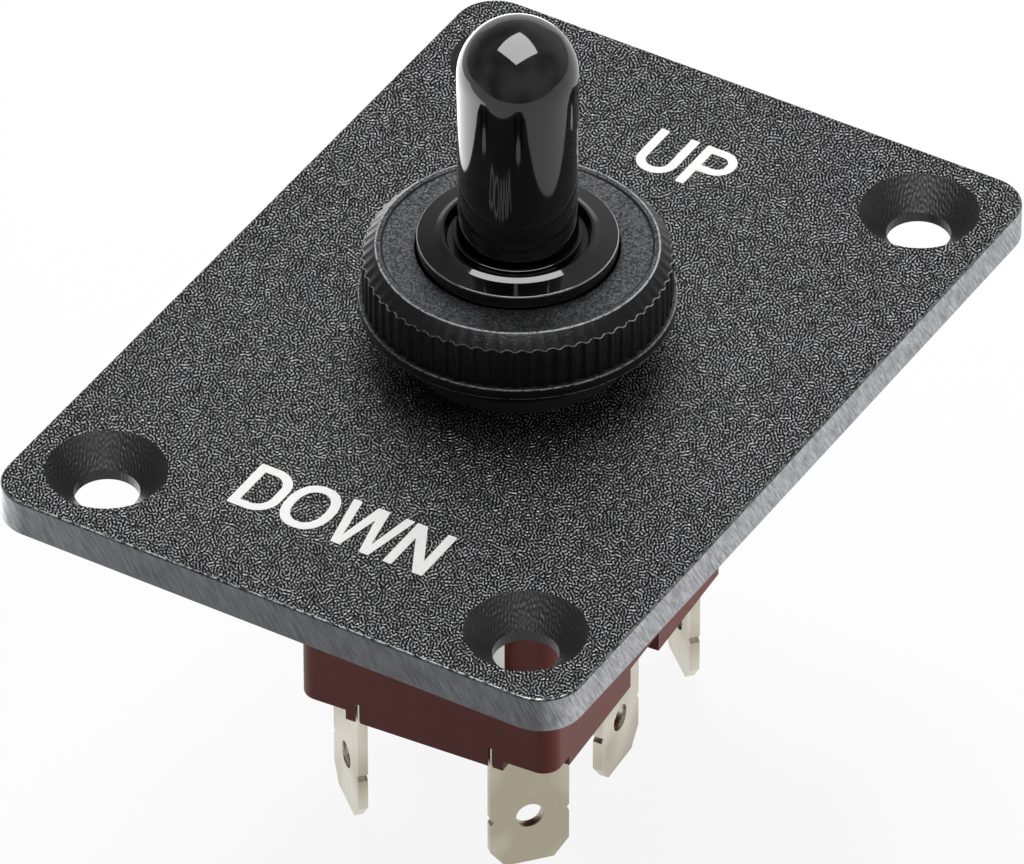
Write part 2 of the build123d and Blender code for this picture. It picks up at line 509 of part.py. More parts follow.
def mounting_frame():
    """Steel U: top plate under the bushing's shoulder, and end straps crimped into the base."""
    strap_outside = BASE_HALF_LENGTH + FRAME_STRAP_THICKNESS
    strap_bottom = FRAME_TOP - FRAME_STRAP_LENGTH
    frame = block(2 * FRAME_STRAP_HALF_WIDTH, 2 * strap_outside, strap_bottom, FRAME_TOP)
    frame = fillet(frame.edges().filter_by(Axis.X).group_by(Axis.Z)[-1], FRAME_STRAP_THICKNESS)
    frame += block(2 * FRAME_HALF_WIDTH, 2 * BASE_HALF_LENGTH, FRAME_BOTTOM, FRAME_TOP)
    frame -= block(3 * FRAME_HALF_WIDTH, 2 * BASE_HALF_LENGTH, strap_bottom, FRAME_BOTTOM)
    lug_height = FRAME_STRAP_THICKNESS
    for end in (-1, 1):
        lug_y = end * (BASE_HALF_LENGTH - FRAME_LUG_DEPTH / 2)
        frame += Pos(0, lug_y, strap_bottom) * Box(
            FRAME_LUG_WIDTH, FRAME_LUG_DEPTH, lug_height, align=UP_FROM_BASE)
    return frame - disc(SPIGOT_RADIUS, FRAME_BOTTOM, FRAME_TOP)


def insulating_card():
    half_x = BASE_HALF_WIDTH - BASE_SIDE_WALL / 2
    half_y = BASE_HALF_LENGTH - CARD_CLEARANCE
    card = rounded_block(half_x, half_y, BASE_CORNER_RADIUS, BASE_TOP, FRAME_BOTTOM)
    return card - disc(SPIGOT_RADIUS + CARD_CLEARANCE, BASE_TOP, FRAME_BOTTOM)


def base():
    """Moulded base: open box with a divider, ribbed underside, blade slots and crimp notches."""
    body = rounded_block(BASE_HALF_WIDTH, BASE_HALF_LENGTH, BASE_CORNER_RADIUS, BASE_BOTTOM, BASE_TOP)
    inner_x = BASE_HALF_WIDTH - BASE_SIDE_WALL
    inner_y = BASE_HALF_LENGTH - BASE_END_WALL
    body -= rounded_block(inner_x, inner_y, BASE_CORNER_RADIUS / 2, BASE_FLOOR_TOP, BASE_TOP)
    body += block(BASE_DIVIDER_THICKNESS, 2 * inner_y, BASE_FLOOR_TOP, BASE_FLOOR_TOP + BASE_DIVIDER_HEIGHT)
    corner = block(BASE_CORNER_STEP_X, BASE_CORNER_STEP_Y, BASE_BOTTOM, BASE_CORNER_LEVEL)
    corner_x = BASE_HALF_WIDTH - BASE_CORNER_STEP_X / 2
    corner_y = BASE_HALF_LENGTH - BASE_CORNER_STEP_Y / 2
    pocket_top = BASE_BOTTOM + BASE_SIDE_POCKET_DEPTH
    pocket = block(BASE_CORNER_STEP_X, 2 * BASE_SIDE_POCKET_HALF_LENGTH, BASE_BOTTOM, pocket_top)
    for side in (-1, 1):
        for end in (-1, 1):
            body -= Pos(side * corner_x, end * corner_y, 0) * corner
        body -= Pos(side * corner_x, 0, 0) * pocket
    for place in BLADE_PLACES.values():
        body -= place_blade(place, blade_slot())
    notch_low = FRAME_TOP - FRAME_STRAP_LENGTH - FRAME_LUG_CLEARANCE
    notch_high = notch_low + FRAME_STRAP_THICKNESS + 2 * FRAME_LUG_CLEARANCE
    notch = block(FRAME_LUG_WIDTH + 2 * FRAME_LUG_CLEARANCE,
                  2 * (FRAME_LUG_DEPTH + FRAME_LUG_CLEARANCE), notch_low, notch_high)
    for end in (-1, 1):
        body -= Pos(0, end * BASE_HALF_LENGTH, 0) * notch
    return body


def make_parts():
    parts = {
        "knurled_ring_nut": knurled_ring_nut(),
        "rubber_boot": rubber_boot(),
        "upper_hex_nut": hex_nut(SEAL_WASHER_TOP, UPPER_NUT_TOP),
        "seal_washer": seal_washer(),
        "bushing": bushing(),
        "lock_washer": lock_washer(),
        "lower_hex_nut": hex_nut(LOWER_NUT_BOTTOM, -LOCK_WASHER_THICKNESS),
        "pivot_pin": pivot_pin(),
        "mounting_frame": mounting_frame(),
        "insulating_card": insulating_card(),
        "base": base(),
        "fixed_contacts": fixed_contacts(),
        "lever": lever(),
        "plunger_carrier": plunger_carrier(),
    }
    for name, place in BLADE_PLACES.items():
        parts[name] = terminal(place)
    for hand, side in (("left", -1), ("right", 1)):
        parts["fulcrum_post_" + hand] = fulcrum_post(side)
        parts["plunger_" + hand] = plunger(side)
        parts["plunger_spring_" + hand] = plunger_spring(side)
        parts["rocker_" + hand] = rocker(side)
        parts["rocker_contacts_" + hand] = rocker_contacts(side)
    turned_parts = {name: Rot(0, 0, SWITCH_TURN) * part for name, part in parts.items()}
    return {"panel_plate": panel_plate(), **turned_parts}


def main():
    os.makedirs("parts", exist_ok=True)
    for name, part in make_parts().items():
        export_step(part, "parts/" + name + ".step")


main()
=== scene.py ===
"""Looks of the toggle switch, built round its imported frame: the powder-coated panel plate with its printed
legends, the knurled ring nut, the glossy rubber boot, the moulded base and the six plated blades."""

import json
from functools import partial
from math import atan, atan2, cos, pi, radians, sin

import bmesh
import bpy
from bpy.props import FloatProperty, FloatVectorProperty, IntProperty, PointerProperty
from bpy.types import Operator, Panel, PropertyGroup
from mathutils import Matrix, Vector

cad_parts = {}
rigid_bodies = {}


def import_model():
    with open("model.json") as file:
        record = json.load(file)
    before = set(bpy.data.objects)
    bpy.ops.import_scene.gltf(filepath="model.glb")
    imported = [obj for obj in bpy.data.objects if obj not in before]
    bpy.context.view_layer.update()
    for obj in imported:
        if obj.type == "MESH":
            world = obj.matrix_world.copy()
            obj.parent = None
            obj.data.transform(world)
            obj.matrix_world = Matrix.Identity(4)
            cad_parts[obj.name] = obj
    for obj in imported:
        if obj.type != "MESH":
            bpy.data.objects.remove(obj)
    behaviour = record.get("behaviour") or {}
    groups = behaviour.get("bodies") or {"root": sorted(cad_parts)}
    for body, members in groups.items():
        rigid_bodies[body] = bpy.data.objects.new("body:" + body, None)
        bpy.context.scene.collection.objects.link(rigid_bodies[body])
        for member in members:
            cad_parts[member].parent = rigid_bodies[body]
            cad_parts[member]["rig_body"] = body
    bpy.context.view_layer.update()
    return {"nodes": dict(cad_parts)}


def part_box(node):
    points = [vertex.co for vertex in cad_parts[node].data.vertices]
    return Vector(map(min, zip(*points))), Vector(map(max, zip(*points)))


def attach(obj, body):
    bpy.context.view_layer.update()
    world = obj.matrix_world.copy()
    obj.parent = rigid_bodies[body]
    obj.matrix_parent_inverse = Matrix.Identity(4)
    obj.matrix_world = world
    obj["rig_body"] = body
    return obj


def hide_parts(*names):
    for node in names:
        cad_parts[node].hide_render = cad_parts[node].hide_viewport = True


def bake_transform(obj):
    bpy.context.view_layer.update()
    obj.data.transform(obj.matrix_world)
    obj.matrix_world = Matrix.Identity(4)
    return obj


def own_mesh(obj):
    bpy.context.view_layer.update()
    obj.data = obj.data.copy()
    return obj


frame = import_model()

bl_info = {
    "name": "Toggle Switch Dresser",
    "version": (1, 0, 0),
    "blender": (4, 5, 0),
    "location": "3D View > Sidebar > Toggle Switch",
    "description": "Dresses a panel-mounted toggle switch and its plate in their real finishes",
    "category": "Object",
}

MM = 0.001
BOOT_LOW, BOOT_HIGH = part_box("rubber_boot")
NUT_LOW, NUT_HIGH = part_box("knurled_ring_nut")
_, PLATE_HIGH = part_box("panel_plate")
BLADE_LOW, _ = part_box("terminal_front_right")
_, BUSHING_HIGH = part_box("bushing")

SCREW_X, SCREW_Y = 18.3 * MM, 29.3 * MM
COATED_ROUND_SCREW = 6 * MM     # the coat runs down into the screw holes, within this of their middles
WEAR_AND_HIGHLIGHT_BEYOND = 10.5 * MM         # the ring nut's edges are worn, and carry a painted highlight, outside this radius
FLANGE_HIGHLIGHT_BEYOND = 7.3 * MM         # the boot's flange has its painted edge highlight outside this radius
FLUTE_COLUMNS = 8               # points to each flute of the ring nut
MERGE = 0.0005 * MM             # a CAD mesh's loose corners are nearer to each other than this
SMOOTH_ANGLE = radians(35)      # edges sharper than this stay crisp
BLADES = [f"terminal_{place}_{side}" for place in ("front", "middle", "rear") for side in ("left", "right")]


# ---------------------------------------------------------------- colours and settings

def linear(hex_colour):
    """Linear red, green, blue and alpha from an sRGB hex colour."""
    channels = [int(hex_colour[i:i + 2], 16) / 255 for i in (1, 3, 5)]
    return [c / 12.92 if c <= 0.04045 else ((c + 0.055) / 1.055) ** 2.4 for c in channels] + [1.0]


def length(name, description, millimetres):
    return FloatProperty(name=name, description=description, default=millimetres * MM,
                         min=0.0, unit="LENGTH", precision=5)


def colour(name, description, hex_colour):
    return FloatVectorProperty(name=name, description=description, default=linear(hex_colour),
                               size=4, min=0.0, max=1.0, subtype="COLOR")


class BootSizes(PropertyGroup):
    flange_radius: length("Flange radius", "Outer edge of the flange above the ring nut", 7.65)
    flange_height: length("Flange height", "Top of the flange above the plate's underside", 13.25)
    crest_radius: length("Crest radius", "Inner end of the flange's plain top", 6.24)
    moat_radius: length("Moat radius", "Outer side of the moat round the foot", 5.62)
    moat_depth: length("Moat depth", "Depth of the moat below the flange's top", 0.6)
    bead_height: length("Bead height", "Bead round the moat, above the flange's top", 0.22)
    foot_radius: length("Foot radius", "Ring at the foot of the sleeve", 4.88)
    edge_drop: length("Edge drop", "Fall of the flange's top to its outer edge", 0.25)
    foot_height: length("Foot height", "Top of the foot ring above the flange's top", 0.06)
    flare_height: length("Flare height", "Foot ring up to the straight sleeve", 2.1)
    waist_radius: length("Waist radius", "Sleeve just above its foot", 4.52)
    dome_radius: length("Dome radius", "Round end of the sleeve", 4.6)
    wall: length("Wall", "Thickness of the rubber", 0.85)
    bore: length("Bore", "Opening in the flange, wide enough for the tilted lever", 5.0)
    skirt_height: length("Skirt height", "Part of the boot that the nut's groove holds", 1.5)
    bead_width: length("Bead slope", "Outer slope of the bead, across", 0.42)
    brim_radius: length("Brim radius", "Hidden brim of the sleeve, under the moat's floor", 5.75)
    inner_flare: length("Inner flare", "How much wider the sleeve is inside, at its foot", 0.65)
    columns: IntProperty(name="Columns", description="Points in each ring", default=96, min=24)


class RingNutSizes(PropertyGroup):
    lip_height: length("Lip height", "Plain lip under the knurl", 0.9)
    knurl_radius: length("Knurl radius", "Outside of the fluted band", 11.8)
    knurl_height: length("Knurl height", "Height of the fluted band", 3.4)
    flute_depth: length("Flute depth", "Depth of each flute", 0.17)
    crown_radius: length("Crown radius", "Edge of the flat top", 10.75)
    crown_round: length("Crown round", "Round of the crown's edge", 0.3)
    rim_width: length("Rim width", "Raised rim round the top", 0.4)
    recess: length("Recess", "Depth of the top inside its rim", 0.15)
    edge_round: length("Edge round", "Round of the turned edges", 0.1)
    knurl_round: length("Knurl round", "Round of the fluted band's upper edge", 0.2)
    groove_radius: length("Groove radius", "Groove inside, which holds the boot's skirt", 9.0)
    groove_height: length("Groove height", "Height of that groove", 1.6)
    clearance: length("Clearance", "Opening over the boot's flange", 0.1)
    thread_inset: length("Thread inset", "Bushing's shoulder to the nut's bore", 1.35)
    flutes: IntProperty(name="Flutes", description="Flutes round the band", default=66, min=12)


class LegendSizes(PropertyGroup):
    cap_height: length("Cap height", "Height of the capitals", 5.15)
    stroke: length("Stroke", "Width of the strokes", 0.76)
    corner: length("Corner", "Round of the printed corners", 0.1)
    wide_gap: length("Wide gap", "Space between two upright strokes", 0.7)
    gap: length("Gap", "Space beside a round or slanting letter", 0.22)
    aside: length("Aside", "Words' middle, left of the middle of the plate", 0.1)
    film: length("Film", "Thickness of the print", 0.02)
    up_height: length("UP place", "Baseline of UP, from the middle of the plate", 22.85)
    down_height: length("DOWN place", "Baseline of DOWN, down from the middle of the plate", 27.86)


class Colours(PropertyGroup):
    coat: colour("Powder coat", "Textured coat of the plate", "#151516")
    legend: colour("Legend", "Screen-printed ink", "#f4f4f2")
    nut: colour("Ring nut", "Dyed anodised aluminium", "#0d0d0e")
    rubber: colour("Boot", "Moulded rubber", "#0a0a0b")
    phenolic: colour("Base", "Moulded phenolic", "#78382f")
    blade: colour("Blades", "Tin plate over brass", "#d2cdbf")
    floor: colour("Floor", "Studio sweep", "#f2f2f2")


class StageSizes(PropertyGroup):
    azimuth: FloatProperty(name="Azimuth", description="Camera's turn round the object",
                           default=radians(31.011), subtype="ANGLE")
    elevation: FloatProperty(name="Elevation", description="Camera's height above the horizon",
                             default=radians(39.023), subtype="ANGLE")
    distance: length("Distance", "Camera to the middle of the plate", 1033.0)
    aside: length("Aside", "Aim to the left of the middle of the plate", 0.428)
    below: length("Below", "Aim below the middle of the plate, across the view", 7.09)
    floor_near: length("Floor, near", "Board in front of the object", 200.0)
    floor_far: length("Floor, far", "Board behind the object", 700.0)
    floor_side: length("Floor, side", "Board to each side of the object", 600.0)
    lens: FloatProperty(name="Lens", description="Focal length in millimetres, on a 36 mm frame",
                        default=479.5)


# ---------------------------------------------------------------- node helpers

# A Mix node's sockets, several of which share a name: the factor, two numbers and two colours.
FACTOR, NUMBER_A, NUMBER_B, COLOUR_A, COLOUR_B = 0, 2, 3, 6, 7
COLOURS = {"data_type": "RGBA", "output": 2}    # makes a Mix node mix its colours


def add_node(tree, kind, inputs=(), output=0, **settings):
    """Add one node with its settings, and return the wanted output.

    Inputs are values or other nodes' outputs, by the sockets' names or in their order, which for
    MapRange is the value, its low and high, and what these two become: 0 and 1 if nothing is given.
    """
    node = tree.nodes.new("ShaderNode" + kind)
    for name, value in settings.items():
        setattr(node, name, value)
    for socket, value in inputs.items() if isinstance(inputs, dict) else enumerate(inputs):
        if isinstance(value, bpy.types.NodeSocket):
            tree.links.new(value, node.inputs[socket])
        else:
            node.inputs[socket].default_value = value
    return node.outputs[output] if node.outputs else node


def new_finish(name):
    """An empty node material, with what adds its nodes, and its object coordinates."""
    material = bpy.data.materials.new(name)
    material.use_nodes = True
    material.node_tree.nodes.clear()
    add = partial(add_node, material.node_tree)
    return material, add, add("TexCoord", output="Object")


# ---------------------------------------------------------------- finishes

def textured_powder_coat(coat):
    """Black wrinkle powder coat on sheet aluminium, with sawn bare edges and bored holes.

    The wrinkles are about 0.3 mm apart; their crests are painted light grey as glints, and on the flat faces
    the valleys are painted near black as shade. The countersinks are smoother, and the upright faces show
    bare metal with the saw's slanting marks, the front and back ones painted darker as shade.
    """
    material, add, place = new_finish("textured_black_powder_coat")
    facing = add("SeparateXYZ", (add("TexCoord", output="Normal"),)).node.outputs
    # 1 on the plate's two flat faces, about 0.7 in the countersinks and 0 on the upright faces.
    upward = add("Math", (facing["Z"],), operation="ABSOLUTE")
    flat = add("MapRange", (upward, 0.8, 0.97))
    # The four screw holes are alike from the plate's middle, so one place stands for all of them.
    from_middle = add("VectorMath", (place,), operation="ABSOLUTE")
    screw = (SCREW_X, SCREW_Y, 0)
    from_screw = add("VectorMath", (from_middle, screw), "Value", operation="DISTANCE")
    at_hole = add("Math", (from_screw, COATED_ROUND_SCREW), operation="LESS_THAN")
    coated = add("Math", (at_hole, add("MapRange", (upward, 0.22, 0.4))), operation="MAXIMUM")

    # The wrinkles are a little longer one way, as on a coat that hung while it cured.
    hung = add("Mapping", {"Vector": place, "Rotation": (0, 0, radians(31)), "Scale": (1, 1.5, 1)},
               vector_type="TEXTURE")
    gabor = add("TexGabor", {"Vector": hung, "Scale": 1 / (0.5 * MM), "Frequency": 2.0, "Anisotropy": 0.0})
    wrinkle = add("MapRange", (gabor, 0.25, 0.75))
    # Only the crests are painted light grey, as glints, and more in some patches than in others.
    patches = add("TexNoise", {"Vector": place, "Scale": 1 / (0.32 * MM), "Detail": 1.0})
    uneven_glint_patches = add("MapRange", (patches, 0.36, 0.66, 0.3, 1.25))
    height = add("Math", (wrinkle, add("MapRange", (flat, 0.0, 1.0, 0.35, 1.0))), operation="MULTIPLY")
    painted_glint_crests = add("Math", (add("MapRange", (wrinkle, 0.48, 0.95)), uneven_glint_patches), operation="MULTIPLY")
    painted_glint_crests = add("Math", (painted_glint_crests, flat), operation="MULTIPLY")
    # Painted shade: on the flat faces the valleys are near black. Painted glints: the crests are light grey.
    painted_shade_valley = add("Mix", {FACTOR: flat, COLOUR_A: coat, COLOUR_B: linear("#080809")}, **COLOURS)
    tone = add("Mix", {FACTOR: painted_glint_crests, COLOUR_A: painted_shade_valley, COLOUR_B: linear("#a8a9ac")}, **COLOURS)
    sparkle = add("MapRange", (painted_glint_crests, 0.0, 0.4, 0.06, 1.0))
    shine = add("Mix", {FACTOR: flat, NUMBER_A: 0.45, NUMBER_B: sparkle})
    coat_shader = add("BsdfPrincipled", {
        "Base Color": tone, "Roughness": add("MapRange", (painted_glint_crests, 0.0, 1.0, 0.4, 0.24)),
        "Specular IOR Level": shine, "Normal": add("Bump", {"Height": height, "Distance": 0.07 * MM})})

    # The saw's marks run across each upright face, leaning a little.
    spot = add("SeparateXYZ", (place,)).node.outputs
    along = add("Math", (spot["X"], spot["Y"]), operation="ADD")
    lean = add("Math", (spot["Z"], 0.6), operation="MULTIPLY")
    slant = add("Math", (along, lean), operation="ADD")
    drawn_out = add("Math", (spot["Z"], 0.12), operation="MULTIPLY")
    across = add("CombineXYZ", (slant, drawn_out))
    marks = add("TexNoise", {"Vector": across, "Scale": 1 / (0.22 * MM), "Detail": 3.0, "Roughness": 0.7})
    blotch = add("TexNoise", {"Vector": place, "Scale": 1 / (1.6 * MM), "Detail": 3.0})
    # Painted shade: the front and back faces are painted darker than the two sides.
    painted_shade_ends = add("MapRange", (add("Math", (facing["Y"],), operation="ABSOLUTE"), 0.5, 0.9))
    metal = linear("#8e9094")
    for share, other in (
            (add("MapRange", (marks, 0.35, 0.7)), "#c9cacd"),
            (add("MapRange", (blotch, 0.5, 0.75, 0.0, 0.4)), "#63666b"),
            (add("Math", (painted_shade_ends, 0.78), operation="MULTIPLY"), "#3a3b3e")):
        metal = add("Mix", {FACTOR: share, COLOUR_A: metal, COLOUR_B: linear(other)}, **COLOURS)
    metal_shader = add("BsdfPrincipled", {
        "Base Color": metal, "Metallic": 1.0, "Roughness": add("MapRange", (marks, 0.3, 0.7, 0.55, 0.38)),
        "Normal": add("Bump", {"Height": marks, "Distance": 0.02 * MM})})

    # Round the plate's top edge, patches of bare metal are partly the coat worn through, partly a painted
    # highlight along the rounded edge.
    rim = add("Math", (add("MapRange", (upward, 0.4, 0.6)), add("MapRange", (upward, 0.95, 0.8))),
              operation="MULTIPLY")
    away = add("Math", (1.0, at_hole), operation="SUBTRACT")
    rubbed = add("TexNoise", {"Vector": place, "Scale": 1 / (0.5 * MM), "Detail": 3.0, "Roughness": 0.7})
    for part in (away, add("MapRange", (rubbed, 0.42, 0.56))):
        rim = add("Math", (rim, part), operation="MULTIPLY")
    # Bare bright metal on the rim: partly wear, partly a painted highlight.
    wear_and_highlight = add("BsdfPrincipled", {"Base Color": linear("#a2a3a6"), "Metallic": 1.0, "Roughness": 0.3})
    surface = add("MixShader", (coated, metal_shader, coat_shader))
    add("OutputMaterial", (add("MixShader", (rim, surface, wear_and_highlight)),))
    return material


def screen_print(ink):
    """Opaque white ink, screen printed: matt, with a slight unevenness from the coat beneath."""
    material, add, place = new_finish("screen_printed_ink")
    grain = add("TexNoise", {"Vector": place, "Scale": 1 / (0.3 * MM), "Detail": 1.0})
    thin = [0.94 * channel for channel in ink[:3]] + [1.0]
    tone = add("Mix", {FACTOR: add("MapRange", (grain, 0.3, 0.7)), COLOUR_A: thin, COLOUR_B: ink}, **COLOURS)
    add("OutputMaterial", (add("BsdfPrincipled", {
        "Base Color": tone, "Roughness": 0.55,
        "Normal": add("Bump", {"Height": grain, "Distance": 0.008 * MM})}),))
    return material


def from_axis(add, place):
    """How far a point is from the switch's upright axis."""
    level = add("VectorMath", (place, (1, 1, 0)), operation="MULTIPLY")
    return add("VectorMath", (level,), "Value", operation="LENGTH")


def blasted_black_anodising(dye):
    """Bead-blasted aluminium, dyed black: a dull grain, with painted glints on the upward flats, and a dry
    sheen with a painted highlight, ragged like wear, on the edges.

    The blasting's own grain is finer than shows, so it is drawn at 0.18 mm.
    """
    material, add, place = new_finish("blasted_black_anodised_aluminium")
    grain = add("TexNoise", {"Vector": place, "Scale": 1 / (0.18 * MM), "Roughness": 0.6})
    cloud = add("TexNoise", {"Vector": place, "Scale": 1 / (4 * MM)})
    lean = add("SeparateXYZ", (add("TexCoord", output="Normal"),), "Z")
    upward = add("MapRange", (lean, 0.8, 0.98))
    # Painted glints: light grey specks only on the faces that look up.
    upward_painted_glints = add("Math", (upward, add("MapRange", (grain, 0.4, 0.7))), operation="MULTIPLY")
    tone = add("Mix", {FACTOR: upward_painted_glints, COLOUR_A: dye, COLOUR_B: linear("#6a6b6e")}, **COLOURS)

    # Nothing on faces lying flat, upright or at 45 degrees, most on the rounded edges between them.
    angle = add("Math", (lean,), operation="ARCSINE")
    wave = add("Math", (add("Math", (angle, 4.0), operation="MULTIPLY"),), operation="SINE")
    edge = add("Math", (wave,), operation="ABSOLUTE")
    chips = add("TexNoise", {"Vector": place, "Scale": 1 / (0.35 * MM), "Roughness": 0.6})
    outside = add("Math", (from_axis(add, place), WEAR_AND_HIGHLIGHT_BEYOND), operation="GREATER_THAN")
    ragged = add("Math", (add("MapRange", (chips, 0.35, 0.5)), outside), operation="MULTIPLY")
    # The rounded edges are painted light grey: partly wear, partly a painted highlight.
    wear_and_highlight = add("Math", (add("MapRange", (edge, 0.45, 0.9)), ragged), operation="MULTIPLY")
    tone = add("Mix", {FACTOR: wear_and_highlight, COLOUR_A: tone, COLOUR_B: linear("#b9babc")}, **COLOURS)
    rubbed_smooth = add("Math", (wear_and_highlight, 0.15), operation="MULTIPLY")
    rough = add("Math", (add("MapRange", (cloud, 0.3, 0.7, 0.29, 0.36)), rubbed_smooth), operation="SUBTRACT")
    add("OutputMaterial", (add("BsdfPrincipled", {
        "Base Color": tone, "Roughness": rough, "Specular IOR Level": 0.28,
        "Normal": add("Bump", {"Height": grain, "Distance": 0.03 * MM})}),))
    return material


def glossy_rubber(black):
    """Compression-moulded rubber from a polished mould: deep black with clear reflections.

    The flange's rounded outer edge has a thin grey painted highlight.
    """
    material, add, place = new_finish("glossy_moulded_rubber")
    ripple = add("TexNoise", {"Vector": place, "Scale": 1 / (2.5 * MM)})
    dust = add("TexNoise", {"Vector": place, "Scale": 1 / (0.15 * MM), "Roughness": 0.7})
    lean = add("SeparateXYZ", (add("TexCoord", output="Normal"),), "Z")
    # Painted highlight: a grey band on the flange's rounded outer edge.
    flange_edge_highlight = add("Math", (add("MapRange", (lean, 0.2, 0.45)), add("MapRange", (lean, 0.95, 0.8))),
                operation="MULTIPLY")
    outside = add("Math", (from_axis(add, place), FLANGE_HIGHLIGHT_BEYOND), operation="GREATER_THAN")
    flange_edge_highlight = add("Math", (flange_edge_highlight, outside), operation="MULTIPLY")
    tone = add("Mix", {FACTOR: flange_edge_highlight, COLOUR_A: black, COLOUR_B: linear("#b4b4b6")}, **COLOURS)
    add("OutputMaterial", (add("BsdfPrincipled", {
        "Base Color": tone, "Roughness": add("MapRange", (dust, 0.55, 0.8, 0.05, 0.12)), "IOR": 1.55,
        "Normal": add("Bump", {"Height": ripple, "Distance": 0.004 * MM})}),))
    return material


def moulded_phenolic(red_brown):
    """Phenolic moulding powder: red-brown, faintly mottled, with a satin skin."""
    material, add, place = new_finish("moulded_phenolic")
    mottle = add("TexNoise", {"Vector": place, "Scale": 1 / (1.2 * MM), "Detail": 3.0, "Roughness": 0.6})
    grain = add("TexNoise", {"Vector": place, "Scale": 1 / (0.1 * MM)})
    dark = [0.82 * channel for channel in red_brown[:3]] + [1.0]
    blend = add("MapRange", (mottle, 0.3, 0.7))
    tone = add("Mix", {FACTOR: blend, COLOUR_A: dark, COLOUR_B: red_brown}, **COLOURS)
    add("OutputMaterial", (add("BsdfPrincipled", {
        "Base Color": tone, "Roughness": add("MapRange", (mottle, 0.3, 0.7, 0.36, 0.46)),
        "Specular IOR Level": 0.2, "Normal": add("Bump", {"Height": grain, "Distance": 0.004 * MM})}),))
    return material


def worked_metal(name, bright, dull, roughness, streak=(1, 1, 1), mark=0.25 * MM, depth=0.004 * MM):
    """A metal surface with fine marks, drawn out along the axes where `streak` is under 1.

    Real rolling, drawing and grinding marks are too fine to show, so these are up to 0.25 mm wide.
    """
    material, add, place = new_finish(name)
    drawn_out = add("Mapping", {"Vector": place, "Scale": streak})
    marks = add("TexNoise", {"Vector": drawn_out, "Scale": 1 / mark, "Detail": 3.0, "Roughness": 0.65})
    cloud = add("TexNoise", {"Vector": place, "Scale": 1 / (6 * MM), "Detail": 1.0})
    tone = add("Mix", {
        FACTOR: add("MapRange", (cloud, 0.35, 0.65)), COLOUR_A: bright, COLOUR_B: dull}, **COLOURS)
    add("OutputMaterial", (add("BsdfPrincipled", {
        "Base Color": tone, "Metallic": 1.0,
        "Roughness": add("MapRange", (marks, 0.3, 0.7, roughness * 0.8, roughness * 1.25)),
        "Normal": add("Bump", {"Height": marks, "Distance": depth})}),))
    return material


def tin_plated_brass(plate):
    """Stamped brass strip under matt tin: warm grey, rolled lengthways, duller in clouds."""
    return worked_metal("tin_plated_brass", plate, linear("#aaa390"), 0.27, streak=(1, 1, 0.1),
                        mark=0.15 * MM, depth=0.002 * MM)


def bright_nickel_steel():
    """Nickel plate on drawn steel strip: bright and nearly smooth."""
    return worked_metal("nickel_plated_steel", linear("#d6d5d0"), linear("#b9b8b3"), 0.2, (1, 0.2, 1))


def black_oxide_steel():
    """Milled steel, blackened in hot salts: dark, with an oily sheen."""
    return worked_metal("black_oxide_steel", linear("#2b2b2d"), linear("#1c1c1e"), 0.4)


def zinc_plated_steel():
    """Zinc plate with a clear passivation: bluish grey, a little cloudy."""
    return worked_metal("zinc_plated_steel", linear("#b9bec4"), linear("#8f949b"), 0.36)


def nickel_plated_brass():
    """Turned brass under nickel: warm white, with the lathe's rings."""
    return worked_metal("nickel_plated_brass", linear("#d3cfc2"), linear("#b3ad9b"), 0.24, (0.2, 0.2, 1))


def chromed_brass():
    """Polished brass under chrome: cool and mirror-like."""
    return worked_metal("chromed_brass", linear("#dcdedf"), linear("#c6c9cb"), 0.1, (0.3, 0.3, 1))


def hardened_steel():
    """Ground and hardened steel pin: grey, finely ringed."""
    return worked_metal("hardened_steel", linear("#a5a7a9"), linear("#85878a"), 0.28, (1, 0.2, 0.2))


def yellow_brass():
    """Drawn brass rod, left bare: yellow, with fine rings."""
    return worked_metal("yellow_brass", linear("#d9b46a"), linear("#b98f48"), 0.26, (0.3, 0.3, 1))


def rolled_copper():
    """Rolled copper strip: orange-brown, slightly tarnished."""
    return worked_metal("rolled_copper", linear("#c9815b"), linear("#9d5b3e"), 0.32, (1, 0.2, 1))


def contact_silver():
    """Fine silver rivet: white and soft, with a satin face."""
    return worked_metal("contact_silver", linear("#e6e4de"), linear("#c9c6bd"), 0.3)


def spring_wire():
    """Drawn steel music wire: dark grey and smooth."""
    return worked_metal("spring_steel_wire", linear("#8d8f92"), linear("#5f6164"), 0.25, streak=(1, 1, 0.4),
                        mark=0.1 * MM)


def dull_moulding(name, tone, darker, roughness, grain_size, depth):
    """A dull, slightly uneven surface that doesn't shine like a metal."""
    material, add, place = new_finish(name)
    grain = add("TexNoise", {"Vector": place, "Scale": 1 / grain_size, "Detail": 3.0, "Roughness": 0.6})
    blend = add("MapRange", (grain, 0.3, 0.7))
    mixed = add("Mix", {FACTOR: blend, COLOUR_A: darker, COLOUR_B: tone}, **COLOURS)
    add("OutputMaterial", (add("BsdfPrincipled", {
        "Base Color": mixed, "Roughness": roughness,
        "Normal": add("Bump", {"Height": grain, "Distance": depth})}),))
    return material


def soft_washer_rubber():
    """Die-cut rubber sheet: flat black and slightly powdery."""
    return dull_moulding("die_cut_rubber", linear("#202021"), linear("#161617"), 0.75, 0.3 * MM, 0.01 * MM)


def vulcanised_fibre():
    """Vulcanised fibre card: grey, dry and faintly fibrous."""
    return dull_moulding("vulcanised_fibre", linear("#6e6a63"), linear("#57534d"), 0.8, 0.5 * MM, 0.008 * MM)


def moulded_nylon():
    """Natural nylon: milky off-white and waxy."""
    return dull_moulding("moulded_nylon", linear("#d9d6c8"), linear("#c9c5b4"), 0.45, 1.0 * MM, 0.003 * MM)


def dress(nodes, finish):
    """Give CAD nodes or new pieces one finish."""
    for node in nodes:
        piece = frame["nodes"][node] if isinstance(node, str) else node
        piece.data.materials.clear()
        piece.data.materials.append(finish)


# ---------------------------------------------------------------- shaping helpers

def deselect_all():
    bpy.ops.object.select_all(action="DESELECT")


